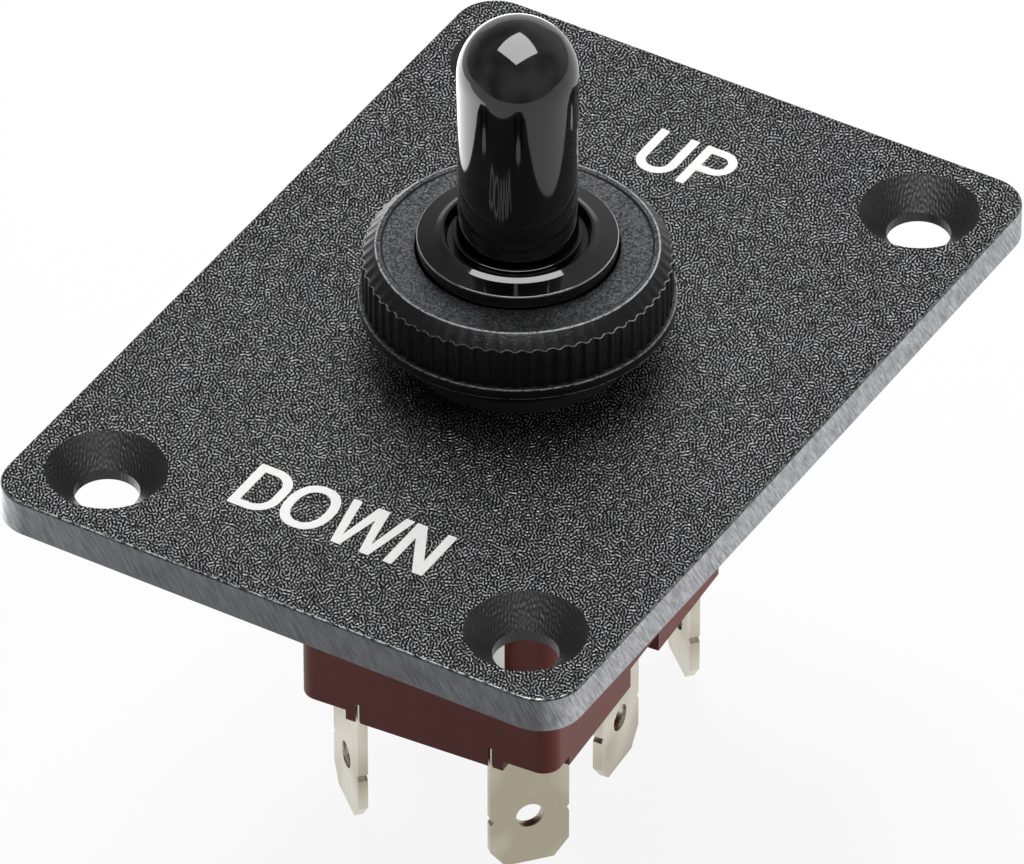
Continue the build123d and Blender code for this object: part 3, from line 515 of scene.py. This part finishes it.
def rounded(corners, steps):
    """Points along a closed outline of (across, up) or (across, up, round) corners, each round an arc."""
    points = []
    count = len(corners)
    for number, corner in enumerate(corners):
        radius = corner[2] if len(corner) == 3 else 0.0
        before, after = corners[number - 1], corners[(number + 1) % count]
        to_before = (before[0] - corner[0], before[1] - corner[1])
        to_after = (after[0] - corner[0], after[1] - corner[1])
        reach_before = (to_before[0] ** 2 + to_before[1] ** 2) ** 0.5
        reach_after = (to_after[0] ** 2 + to_after[1] ** 2) ** 0.5
        if radius == 0.0 or reach_before == 0.0 or reach_after == 0.0:
            points.append((corner[0], corner[1]))
            continue
        a = (to_before[0] / reach_before, to_before[1] / reach_before)
        b = (to_after[0] / reach_after, to_after[1] / reach_after)
        cross = a[0] * b[1] - a[1] * b[0]
        dot = max(-1.0, min(1.0, a[0] * b[0] + a[1] * b[1]))
        half_sine = ((1 - dot) / 2) ** 0.5
        half_cosine = ((1 + dot) / 2) ** 0.5
        # The arc's centre lies on the line that halves the corner, and the arc touches both its sides.
        middle = (a[0] + b[0], a[1] + b[1])
        size = (middle[0] ** 2 + middle[1] ** 2) ** 0.5
        centre = (corner[0] + middle[0] / size * radius / half_sine,
                  corner[1] + middle[1] / size * radius / half_sine)
        cut = radius * half_cosine / half_sine
        start = (corner[0] + a[0] * cut - centre[0], corner[1] + a[1] * cut - centre[1])
        half_sweep = pi / 2 - atan(half_sine / half_cosine)
        sweep = -2 * half_sweep if cross > 0 else 2 * half_sweep
        for step in range(steps + 1):
            angle = sweep * step / steps
            points.append((centre[0] + start[0] * cos(angle) - start[1] * sin(angle),
                           centre[1] + start[0] * sin(angle) + start[1] * cos(angle)))
    return points


def draw_rings(profile, columns):
    """In edit mode: a circle at the profile's first point, extruded and scaled through all the others."""
    radius, height = profile[0]
    bpy.ops.mesh.primitive_circle_add(vertices=columns, radius=radius, location=(0, 0, height))
    for next_radius, next_height in profile[1:]:
        bpy.ops.mesh.extrude_region_move(TRANSFORM_OT_translate={"value": (0, 0, next_height - height)})
        ratio = next_radius / radius
        bpy.ops.transform.resize(value=(ratio, ratio, 1), center_override=(0, 0, next_height))
        radius, height = next_radius, next_height


def start_rings(name, profile, columns):
    """A new piece in edit mode, made of rings along the profile."""
    deselect_all()
    bpy.ops.mesh.primitive_circle_add(vertices=columns, radius=profile[0][0], location=(0, 0, 0))
    piece = bpy.context.object
    piece.name = piece.data.name = name
    bpy.ops.object.mode_set(mode="EDIT")
    bpy.ops.mesh.select_all(action="SELECT")
    bpy.ops.mesh.delete(type="VERT")
    draw_rings(profile, columns)
    return piece


def even_shading(piece, smooth_angle):
    """Smooth shading that keeps large flat faces flat beside small rounded edges."""
    bpy.ops.object.shade_smooth_by_angle(angle=smooth_angle)
    weights = piece.modifiers.new("even_shading", "WEIGHTED_NORMAL")
    weights.keep_sharp = True
    bpy.ops.object.modifier_apply(modifier=weights.name)


def close_piece(piece, smooth_angle):
    """Merge doubles, turn the faces outwards and leave edit mode with smooth shading."""
    bpy.ops.mesh.select_all(action="SELECT")
    bpy.ops.mesh.remove_doubles(threshold=0.001 * MM)
    bpy.ops.mesh.normals_make_consistent(inside=False)
    bpy.ops.object.mode_set(mode="OBJECT")
    bpy.ops.object.transform_apply(location=True, rotation=True, scale=True)
    even_shading(piece, smooth_angle)
    return piece


def merged_copy(node, name):
    """A copy of a CAD node, merged where its faces meet, that rides on the node's body and replaces it."""
    deselect_all()
    source = frame["nodes"][node]
    piece = bpy.data.objects.new(name, source.data.copy())
    bpy.context.scene.collection.objects.link(piece)
    bpy.context.view_layer.objects.active = piece
    piece.select_set(True)
    bpy.ops.object.mode_set(mode="EDIT")
    bpy.ops.mesh.select_all(action="SELECT")
    bpy.ops.mesh.customdata_custom_splitnormals_clear()
    bpy.ops.mesh.remove_doubles(threshold=MERGE)
    bpy.ops.object.mode_set(mode="OBJECT")
    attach(piece, source["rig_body"])
    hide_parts(node)
    return piece


def softened_copy(node, name, width):
    """A copy of a CAD node with its flat faces whole again and its edges rounded; the node is replaced."""
    piece = merged_copy(node, name)
    bpy.ops.object.mode_set(mode="EDIT")
    bpy.ops.mesh.dissolve_limited(angle_limit=radians(0.5))
    bpy.ops.object.mode_set(mode="OBJECT")
    bevel = piece.modifiers.new("edge_round", "BEVEL")
    bevel.width = width
    bevel.segments = 2
    bevel.limit_method = "ANGLE"
    bevel.angle_limit = SMOOTH_ANGLE
    bpy.ops.object.modifier_apply(modifier=bevel.name)
    even_shading(piece, SMOOTH_ANGLE)
    return piece


# ---------------------------------------------------------------- lettering

def oval(width, height, middle, squareness=2.25, points=48):
    """Points round an oval a little squarer than an ellipse."""
    outline = []
    for number in range(points):
        angle = 2 * pi * number / points
        c, s = cos(angle), sin(angle)
        across = abs(c) ** (2 / squareness) * (1 if c >= 0 else -1)
        up = abs(s) ** (2 / squareness) * (1 if s >= 0 else -1)
        outline.append((middle[0] + across * width / 2, middle[1] + up * height / 2))
    return outline


def letter_outlines(letter, sizes):
    """Width and closed outlines of one capital, from its lower left corner."""
    h, s, r = sizes.cap_height, sizes.stroke, sizes.corner
    over = 0.06 * MM                # round letters stand this far over the line, above and below
    if letter == "U":
        w, bend = 3.44 * MM, 1.68 * MM
        return w, [rounded([(0, h, r), (0, -over, bend), (w, -over, bend), (w, h, r), (w - s, h, r),
                            (w - s, s - over, bend - s), (s, s - over, bend - s), (s, h, r)], 12)]
    if letter == "P":
        w, bowl = 3.28 * MM, 1.58 * MM
        waist = h - 2 * bowl
        return w, [
            rounded([(0, 0, r), (0, h, r), (w, h, bowl * 0.99), (w, waist, bowl * 0.99),
                     (s, waist), (s, 0, r)], 12),
            rounded([(s, waist + s), (w - s, waist + s, bowl - s - r), (w - s, h - s, bowl - s - r),
                     (s, h - s)], 12)]
    if letter == "D":
        w, bowl = 3.54 * MM, 1.95 * MM
        return w, [
            rounded([(0, 0, r), (0, h, r), (w, h, bowl), (w, 0, bowl)], 12),
            rounded([(s, s), (w - s, s, bowl - s), (w - s, h - s, bowl - s), (s, h - s)], 12)]
    if letter == "O":
        w = 4.08 * MM
        middle = (w / 2, h / 2)
        return w, [oval(w, h + 2 * over, middle), oval(w - 2 * s, h + 2 * over - 2 * s, middle)]
    if letter == "W":
        w, foot, apex = 5.36 * MM, 0.8 * MM, 1.0 * MM
        low, high = 1.16 * MM, 3.76 * MM
        centre = w / 2
        foot_left = 1.04 * MM
        half = [(0, h, r), (foot_left, 0, r), (foot_left + foot, 0, r), (centre, high)]
        back = [(w - foot_left - foot, 0, r), (w - foot_left, 0, r), (w, h, r), (w - s, h, r)]
        notch = foot_left + foot / 2 + 0.02 * MM
        inner = [(w - notch, low), (centre + apex / 2, h, r), (centre - apex / 2, h, r),
                 (notch, low), (s, h, r)]
        return w, [rounded(half + back + inner, 3)]
    if letter == "N":
        w, head = 3.44 * MM, 0.86 * MM
        slope = 3.56 * MM
        return w, [rounded([(0, 0, r), (0, h, r), (head, h, r), (w - s, h - slope), (w - s, h, r), (w, h, r),
                            (w, 0, r), (w - head, 0, r), (s, slope), (s, 0, r)], 3)]
    raise ValueError(f"no outline for the letter {letter}")


def print_word(word, sizes, baseline, name):
    """One word as a thin raised film, centred across the plate."""
    made = [letter_outlines(letter, sizes) for letter in word]
    pairs = [word[place:place + 2] for place in range(len(word))]
    gaps = [sizes.wide_gap if pair == "UP" else sizes.gap for pair in pairs]
    total = sum(width for width, _ in made) + sum(gaps[:-1])
    shape = bpy.data.curves.new(name, "CURVE")
    shape.dimensions = "2D"
    shape.fill_mode = "BOTH"
    shape.extrude = sizes.film / 2
    left = -total / 2 - sizes.aside
    for (width, outlines), gap in zip(made, gaps):
        for outline in outlines:
            spline = shape.splines.new("POLY")
            spline.points.add(len(outline) - 1)
            spline.use_cyclic_u = True
            for point, (x, y) in zip(spline.points, outline):
                point.co = (left + x, baseline + y, 0, 1)
        left += width + gap
    piece = bpy.data.objects.new(name, shape)
    bpy.context.scene.collection.objects.link(piece)
    deselect_all()
    bpy.context.view_layer.objects.active = piece
    piece.select_set(True)
    bpy.ops.object.convert(target="MESH")
    piece = bpy.context.object
    piece.location.z = PLATE_HIGH.z + sizes.film / 2
    bpy.ops.object.transform_apply(location=True)
    bpy.ops.object.mode_set(mode="EDIT")
    bpy.ops.mesh.select_all(action="SELECT")
    bpy.ops.mesh.remove_doubles(threshold=MERGE)
    bpy.ops.mesh.normals_make_consistent(inside=False)
    bpy.ops.object.mode_set(mode="OBJECT")
    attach(piece, "housing")
    return piece


# ---------------------------------------------------------------- operators

class SWITCH_OT_dress_plate(Operator):
    """Coat the panel plate"""
    bl_idname = "toggle_switch.dress_plate"
    bl_label = "Panel Plate"

    def execute(self, context):
        dress(["panel_plate"], textured_powder_coat(context.scene.switch_colours.coat))
        return {"FINISHED"}


class SWITCH_OT_print_legends(Operator):
    """Print the words UP and DOWN on the plate"""
    bl_idname = "toggle_switch.print_legends"
    bl_label = "Legends"

    def execute(self, context):
        sizes = context.scene.switch_legends
        ink = screen_print(context.scene.switch_colours.legend)
        words = [print_word("UP", sizes, sizes.up_height, "legend_up"),
                 print_word("DOWN", sizes, -sizes.down_height, "legend_down")]
        dress(words, ink)
        return {"FINISHED"}


class SWITCH_OT_turn_ring_nut(Operator):
    """Turn the ring nut, with its flutes and rounded edges"""
    bl_idname = "toggle_switch.turn_ring_nut"
    bl_label = "Ring Nut"

    def execute(self, context):
        sizes = context.scene.switch_nut
        bore = BUSHING_HIGH.x - sizes.thread_inset
        lip = NUT_HIGH.x
        low, high = NUT_LOW.z, NUT_HIGH.z
        lip_top = low + sizes.lip_height
        knurl_top = lip_top + sizes.knurl_height
        inner = high - sizes.recess
        rim = sizes.crown_radius - sizes.rim_width
        opening = context.scene.switch_boot.flange_radius + sizes.clearance
        groove, groove_low = sizes.groove_radius, BOOT_LOW.z
        groove_high = groove_low + sizes.groove_height
        edge = sizes.edge_round
        corners = [
            (bore, low), (lip, low, edge), (lip, lip_top, edge), (sizes.knurl_radius, lip_top),
            (sizes.knurl_radius, knurl_top, sizes.knurl_round), (sizes.crown_radius, high, sizes.crown_round),
            (rim, high, edge), (rim - sizes.recess, inner, edge), (opening, inner, edge),
            (opening, groove_high), (groove, groove_high), (groove, groove_low), (bore, groove_low)]
        profile = rounded(corners, 3)
        columns = sizes.flutes * FLUTE_COLUMNS
        piece = start_rings("ring_nut_turned", profile + [profile[0]], columns)
        # Each flute's floor is its fourth column, and its sides slope up over two more each way. Its
        # upper end climbs a little into the crown's slope, which leaves a scalloped edge there.
        steepness = (high - knurl_top) / (sizes.knurl_radius - sizes.crown_radius)
        edge_low = knurl_top - 0.08 * MM
        for share, chosen in ((0.6, (2, 6)), (0.95, (3, 5)), (1.0, (4,))):
            depth = share * sizes.flute_depth
            self.select_flutes(piece, columns, chosen, sizes.knurl_radius, edge_low, knurl_top)
            bpy.ops.transform.translate(value=(0, 0, 0.45 * depth * steepness))
            self.select_flutes(piece, columns, chosen, sizes.knurl_radius, lip_top, knurl_top + depth)
            ratio = 1 - depth / sizes.knurl_radius
            bpy.ops.transform.resize(value=(ratio, ratio, 1), center_override=(0, 0, 0))
        close_piece(piece, smooth_angle=radians(32))
        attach(piece, "housing")
        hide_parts("knurled_ring_nut")
        dress([piece], blasted_black_anodising(context.scene.switch_colours.nut))
        return {"FINISHED"}

    def select_flutes(self, piece, columns, chosen, radius_wanted, low, high):
        """Select the band's points between two heights, in the chosen columns of each flute."""
        bpy.ops.mesh.select_all(action="DESELECT")
        mesh = bmesh.from_edit_mesh(piece.data)
        spare = 0.1 * MM
        for vert in mesh.verts:
            radius = (vert.co.x ** 2 + vert.co.y ** 2) ** 0.5
            column = round(atan2(vert.co.y, vert.co.x) * columns / (2 * pi)) % FLUTE_COLUMNS
            in_height = low - spare < vert.co.z < high + spare
            on_band = radius_wanted - spare < radius < radius_wanted + spare
            if column in chosen and in_height and on_band:
                vert.select_set(True)
        mesh.select_flush(True)
        bmesh.update_edit_mesh(piece.data)


class SWITCH_OT_mould_boot(Operator):
    """Mould the boot: a flange held by the ring nut, and a sleeve over the lever"""
    bl_idname = "toggle_switch.mould_boot"
    bl_label = "Rubber Boot"

    def execute(self, context):
        sizes = context.scene.switch_boot
        flange, sleeve = self.flange(sizes), self.sleeve(sizes)
        dress([flange, sleeve], glossy_rubber(context.scene.switch_colours.rubber))
        return {"FINISHED"}

    def flange(self, sizes):
        """Skirt in the nut's groove, flange and moat, bored wide enough for the tilted lever."""
        top, floor = sizes.flange_height, sizes.flange_height - sizes.moat_depth
        skirt, low = BOOT_HIGH.x, BOOT_LOW.z
        skirt_top = low + sizes.skirt_height
        bead_top, bead_outside = top + sizes.bead_height, sizes.crest_radius - sizes.bead_width
        edge_round, crest_round, bead_round, floor_round = 0.14 * MM, 0.12 * MM, 0.08 * MM, 0.15 * MM
        moat_slope = 0.25 * MM
        corners = [
            (skirt, low), (skirt, skirt_top), (sizes.flange_radius, skirt_top),
            (sizes.flange_radius, top - sizes.edge_drop, edge_round), (sizes.crest_radius, top, crest_round),
            (bead_outside, bead_top, crest_round), (sizes.moat_radius, bead_top, bead_round),
            (sizes.moat_radius - moat_slope, floor, floor_round), (sizes.bore, floor), (sizes.bore, low)]
        profile = rounded(corners, 5)
        piece = start_rings("boot_flange", profile + [profile[0]], sizes.columns)
        close_piece(piece, smooth_angle=radians(40))
        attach(piece, "housing")
        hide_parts("rubber_boot")
        return piece

    def sleeve(self, sizes):
        """Brim under the moat's floor, foot ring, flare, tapered sleeve and dome, hollow for the lever."""
        floor = sizes.flange_height - sizes.moat_depth
        foot_low, brim_top = floor - 0.3 * MM, floor - 0.02 * MM
        foot_top, foot_land = sizes.flange_height + sizes.foot_height, 0.2 * MM
        foot_round, waist_round = 0.08 * MM, 0.4 * MM
        waist_height = foot_top + sizes.flare_height
        dome_centre = BOOT_HIGH.z - sizes.dome_radius
        lower = rounded([
            (sizes.brim_radius, foot_low), (sizes.brim_radius, brim_top), (sizes.foot_radius, brim_top),
            (sizes.foot_radius, foot_top, foot_round), (sizes.foot_radius - foot_land, foot_top),
            (sizes.waist_radius, waist_height, waist_round), (sizes.dome_radius, dome_centre)], 5)[:-1]
        waist = (sizes.waist_radius, waist_height)
        outside = lower + self.sleeve_rings(waist, waist_height + 1.0 * MM, sizes.dome_radius, dome_centre)
        inner = sizes.waist_radius - sizes.wall
        flared = inner + sizes.inner_flare
        inside = [(flared, foot_low), (flared - 0.15 * MM, foot_top)] + self.sleeve_rings(
            (inner, foot_low), waist_height + 0.5 * MM, sizes.dome_radius - sizes.wall, dome_centre)
        piece = start_rings("boot_sleeve", outside, sizes.columns)
        bpy.ops.mesh.merge(type="CENTER")
        draw_rings(inside, sizes.columns)
        bpy.ops.mesh.merge(type="CENTER")
        # The two open rings at the foot are joined, which closes the wall.
        bpy.ops.mesh.select_all(action="DESELECT")
        mesh = bmesh.from_edit_mesh(piece.data)
        for mesh_edge in mesh.edges:
            if mesh_edge.is_boundary:
                mesh_edge.select_set(True)
        bmesh.update_edit_mesh(piece.data)
        bpy.ops.mesh.bridge_edge_loops()
        close_piece(piece, smooth_angle=radians(40))
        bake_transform(piece)
        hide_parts("rubber_boot")
        return piece

    def sleeve_rings(self, cone_start, first, dome_radius, dome_centre, rows=14, dome_rows=16):
        """Rings from the height `first` up a slightly tapered sleeve, and over its dome to near the pole."""
        cone_radius, cone_low = cone_start
        rings = []
        for row in range(rows + 1):
            height = first + (dome_centre - first) * row / rows
            share = (height - cone_low) / (dome_centre - cone_low)
            rings.append((cone_radius + (dome_radius - cone_radius) * share, height))
        nearly_all = 0.995
        for row in range(1, dome_rows + 1):
            angle = pi / 2 * min(row / dome_rows, nearly_all)
            rings.append((dome_radius * cos(angle), dome_centre + dome_radius * sin(angle)))
        return rings


class SWITCH_OT_mould_base(Operator):
    """Soften the moulded base's edges, and finish the frame and the insulating card"""
    bl_idname = "toggle_switch.mould_base"
    bl_label = "Base and Frame"

    def execute(self, context):
        base = softened_copy("base", "base_moulding", width=0.12 * MM)
        dress([base], moulded_phenolic(context.scene.switch_colours.phenolic))
        strip = softened_copy("mounting_frame", "frame_strip", width=0.08 * MM)
        dress([strip], bright_nickel_steel())
        dress(["insulating_card"], vulcanised_fibre())
        return {"FINISHED"}


class SWITCH_OT_stamp_blades(Operator):
    """Stamp the six blade terminals, with the rounded edges of punched and tinned strip"""
    bl_idname = "toggle_switch.stamp_blades"
    bl_label = "Blade Terminals"

    def execute(self, context):
        finish = tin_plated_brass(context.scene.switch_colours.blade)
        for node in BLADES:
            blade = softened_copy(node, node.replace("terminal", "blade"), width=0.07 * MM)
            dress([blade], finish)
        return {"FINISHED"}


class SWITCH_OT_finish_fastenings(Operator):
    """Finish the bushing, its nuts and washers, and the pivot pin"""
    bl_idname = "toggle_switch.finish_fastenings"
    bl_label = "Bushing and Fastenings"

    def execute(self, context):
        dress(["bushing"], nickel_plated_brass())
        dress(["upper_hex_nut", "lower_hex_nut"], black_oxide_steel())
        dress(["lock_washer"], zinc_plated_steel())
        dress(["seal_washer"], soft_washer_rubber())
        dress(["pivot_pin"], hardened_steel())
        return {"FINISHED"}


class SWITCH_OT_finish_movement(Operator):
    """Finish the lever, its carrier, plungers and springs, and the rocking contacts"""
    bl_idname = "toggle_switch.finish_movement"
    bl_label = "Lever and Contacts"

    def execute(self, context):
        sides = ("left", "right")
        dress(["lever"], chromed_brass())
        dress(["plunger_carrier"], moulded_nylon())
        turned_brass = [f"{part}_{side}" for part in ("plunger", "fulcrum_post") for side in sides]
        dress(turned_brass, yellow_brass())
        dress([self.squeezed_spring(side) for side in sides], spring_wire())
        dress([f"rocker_{side}" for side in sides], rolled_copper())
        dress(["fixed_contacts"] + [f"rocker_contacts_{side}" for side in sides], contact_silver())
        return {"FINISHED"}

    def squeezed_spring(self, side):
        """A copy of the plunger's spring, merged and smoothly shaded, in place of the CAD node."""
        node, joint_name = f"plunger_spring_{side}", f"plunger_slide_{side}"
        spring = merged_copy(node, f"coil_spring_{side}")
        even_shading(spring, smooth_angle=radians(60))
        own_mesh(spring)
        return spring


# ---------------------------------------------------------------- stage

def studio_sweep(white):
    """Pale painted board: seen as white, with the object's soft shadow left on it."""
    material, add, _ = new_finish("studio_board")
    board = add("BsdfDiffuse", {"Color": white})
    glow = add("Emission", {"Color": (1, 1, 1, 1), "Strength": 1.0})
    path = add("LightPath").node.outputs
    seen = add("Math", (path["Is Camera Ray"], path["Is Glossy Ray"]), operation="MAXIMUM")
    seen = add("Math", (seen, path["Is Transmission Ray"]), operation="MAXIMUM")
    # The board glows for nine tenths, and the lit tenth left over carries the shadow.
    share = add("Math", (seen, 0.9), operation="MULTIPLY")
    add("OutputMaterial", (add("MixShader", (share, board, glow)),))
    return material


def add_lamp(name, place, turn, size, radiance, lights):
    """Soft rectangular lamp that lights matt surfaces or shows in gloss; its power comes from its area."""
    lamp = bpy.data.lights.new(name, "AREA")
    lamp.shape = "RECTANGLE"
    lamp.size, lamp.size_y = size
    lamp.energy = radiance * pi * size[0] * size[1]
    holder = bpy.data.objects.new(name, lamp)
    holder.location = place
    holder.rotation_euler = turn
    holder.visible_camera = False
    holder.visible_diffuse = lights == "matt"
    holder.visible_glossy = lights == "gloss"
    bpy.context.scene.collection.objects.link(holder)


class SWITCH_OT_set_stage(Operator):
    """Set up the floor, the lamps, the world and the camera"""
    bl_idname = "toggle_switch.set_stage"
    bl_label = "Stage"

    def execute(self, context):
        self.lay_floor(context)
        self.light_world(context)
        azimuth, board = context.scene.switch_stage.azimuth, BLADE_LOW.z
        add_lamp("lamp_overhead", place=(0, 0, 0.5), turn=(0, 0, radians(-19)), size=(0.46, 0.46),
                 radiance=9.0, lights="gloss")
        add_lamp("lamp_behind", place=(-0.182, 0.303, 0.42), turn=(radians(-40), 0, azimuth), size=(0.4, 0.4),
                 radiance=7.6, lights="matt")
        add_lamp("lamp_left", place=(-0.125, 0.03, board + 2 * MM), turn=(pi, 0, 0), size=(0.15, 0.25),
                 radiance=2.3, lights="gloss")
        add_lamp("lamp_right", place=(0.45, 0.25, 0.12), turn=(radians(90), 0, radians(120)), size=(0.4, 0.3),
                 radiance=3.2, lights="matt")
        self.aim_camera(context)
        context.scene.view_settings.view_transform = "Standard"
        return {"FINISHED"}

    def lay_floor(self, context):
        """A pale board under the object, turned with the camera; its near edge is close to the object."""
        sizes = context.scene.switch_stage
        depth = sizes.floor_near + sizes.floor_far
        middle = (sizes.floor_far - sizes.floor_near) / 2
        deselect_all()
        bpy.ops.mesh.primitive_plane_add(size=1.0, location=(0, middle, BLADE_LOW.z))
        floor = context.object
        floor.name = "floor"
        floor.scale = (2 * sizes.floor_side, depth, 1)
        bpy.ops.object.transform_apply(location=True, scale=True)
        floor.rotation_euler.z = sizes.azimuth
        bpy.ops.object.transform_apply(rotation=True)
        floor.data.materials.append(studio_sweep(context.scene.switch_colours.floor))

    def light_world(self, context):
        """White to the camera, dim to matt surfaces, and an uneven grey room to glossy ones."""
        world = bpy.data.worlds.new("studio")
        context.scene.world = world
        world.use_nodes = True
        world.node_tree.nodes.clear()
        add = partial(add_node, world.node_tree)
        path = add("LightPath").node.outputs
        seen = add("Math", (path["Is Camera Ray"], path["Is Transmission Ray"]), operation="MAXIMUM")
        toward = add("TexCoord", output="Generated")
        walls = add("TexNoise", {"Vector": toward, "Scale": 1 / 0.9, "Detail": 1.0})
        gloss = add("MapRange", (walls, 0.35, 0.65, 0.25, 0.6))
        # Behind the object a pale backdrop reaches about 15 degrees up, which only gloss shows.
        azimuth, sine_of_top = context.scene.switch_stage.azimuth, 0.25
        behind = (-sin(azimuth), cos(azimuth), 0)
        backward = add("VectorMath", (toward, behind), "Value", operation="DOT_PRODUCT")
        height = add("SeparateXYZ", (toward,), "Z")
        low = add("Math", (height, sine_of_top), operation="LESS_THAN")
        backdrop = add("Math", (add("MapRange", (backward, 0.8, 0.9)), low), operation="MULTIPLY")
        gloss = add("Math", (gloss, backdrop), operation="MAXIMUM")
        room = add("Mix", {FACTOR: path["Is Glossy Ray"], NUMBER_A: 0.06, NUMBER_B: gloss})
        strength = add("Math", (seen, room), operation="MAXIMUM")
        add("OutputWorld", (add("Background", {"Color": (1, 1, 1, 1), "Strength": strength}),))

    def aim_camera(self, context):
        """Aim near the middle of the plate's top, a little aside and below, along the stage's angles."""
        sizes = context.scene.switch_stage
        turn, tilt = sizes.azimuth, sizes.elevation
        forward = (-sin(turn) * cos(tilt), cos(turn) * cos(tilt), -sin(tilt))
        right = (cos(turn), sin(turn), 0.0)
        up = (-sin(turn) * sin(tilt), cos(turn) * sin(tilt), cos(tilt))
        lens = bpy.data.cameras.new("camera")
        lens.sensor_width = 36.0
        lens.lens = sizes.lens
        lens.clip_end = 10.0
        camera = bpy.data.objects.new("camera", lens)
        aim = (0, 0, PLATE_HIGH.z)
        camera.location = [
            a - f * sizes.distance - r * sizes.aside - u * sizes.below
            for a, f, r, u in zip(aim, forward, right, up)]
        camera.rotation_euler = (pi / 2 - tilt, 0, turn)
        context.scene.collection.objects.link(camera)
        context.scene.camera = camera


PIECES = (SWITCH_OT_dress_plate, SWITCH_OT_print_legends, SWITCH_OT_turn_ring_nut, SWITCH_OT_mould_boot,
          SWITCH_OT_mould_base, SWITCH_OT_stamp_blades, SWITCH_OT_finish_fastenings,
          SWITCH_OT_finish_movement, SWITCH_OT_set_stage)
GROUPS = {"switch_boot": BootSizes, "switch_nut": RingNutSizes, "switch_legends": LegendSizes,
          "switch_colours": Colours, "switch_stage": StageSizes}


class SWITCH_PT_sidebar(Panel):
    """Lists the pieces and their sizes"""
    bl_idname = "SWITCH_PT_sidebar"
    bl_label = "Toggle Switch"
    bl_space_type = "VIEW_3D"
    bl_region_type = "UI"
    bl_category = "Toggle Switch"

    def draw(self, context):
        for piece in PIECES:
            self.layout.operator(piece.bl_idname)
        for attribute in GROUPS:
            box = self.layout.box()
            group = getattr(context.scene, attribute)
            for name in group.__annotations__:
                box.prop(group, name)


def register():
    for group in GROUPS.values():
        bpy.utils.register_class(group)
    for piece in PIECES + (SWITCH_PT_sidebar,):
        bpy.utils.register_class(piece)
    for attribute, group in GROUPS.items():
        setattr(bpy.types.Scene, attribute, PointerProperty(type=group))


def unregister():
    for attribute in GROUPS:
        delattr(bpy.types.Scene, attribute)
    for piece in reversed(PIECES + (SWITCH_PT_sidebar,)):
        bpy.utils.unregister_class(piece)
    for group in reversed(list(GROUPS.values())):
        bpy.utils.unregister_class(group)


def main():
    register()
    for piece in PIECES:
        category, name = piece.bl_idname.split(".")
        getattr(getattr(bpy.ops, category), name)()


if __name__ == "__main__":
    main()
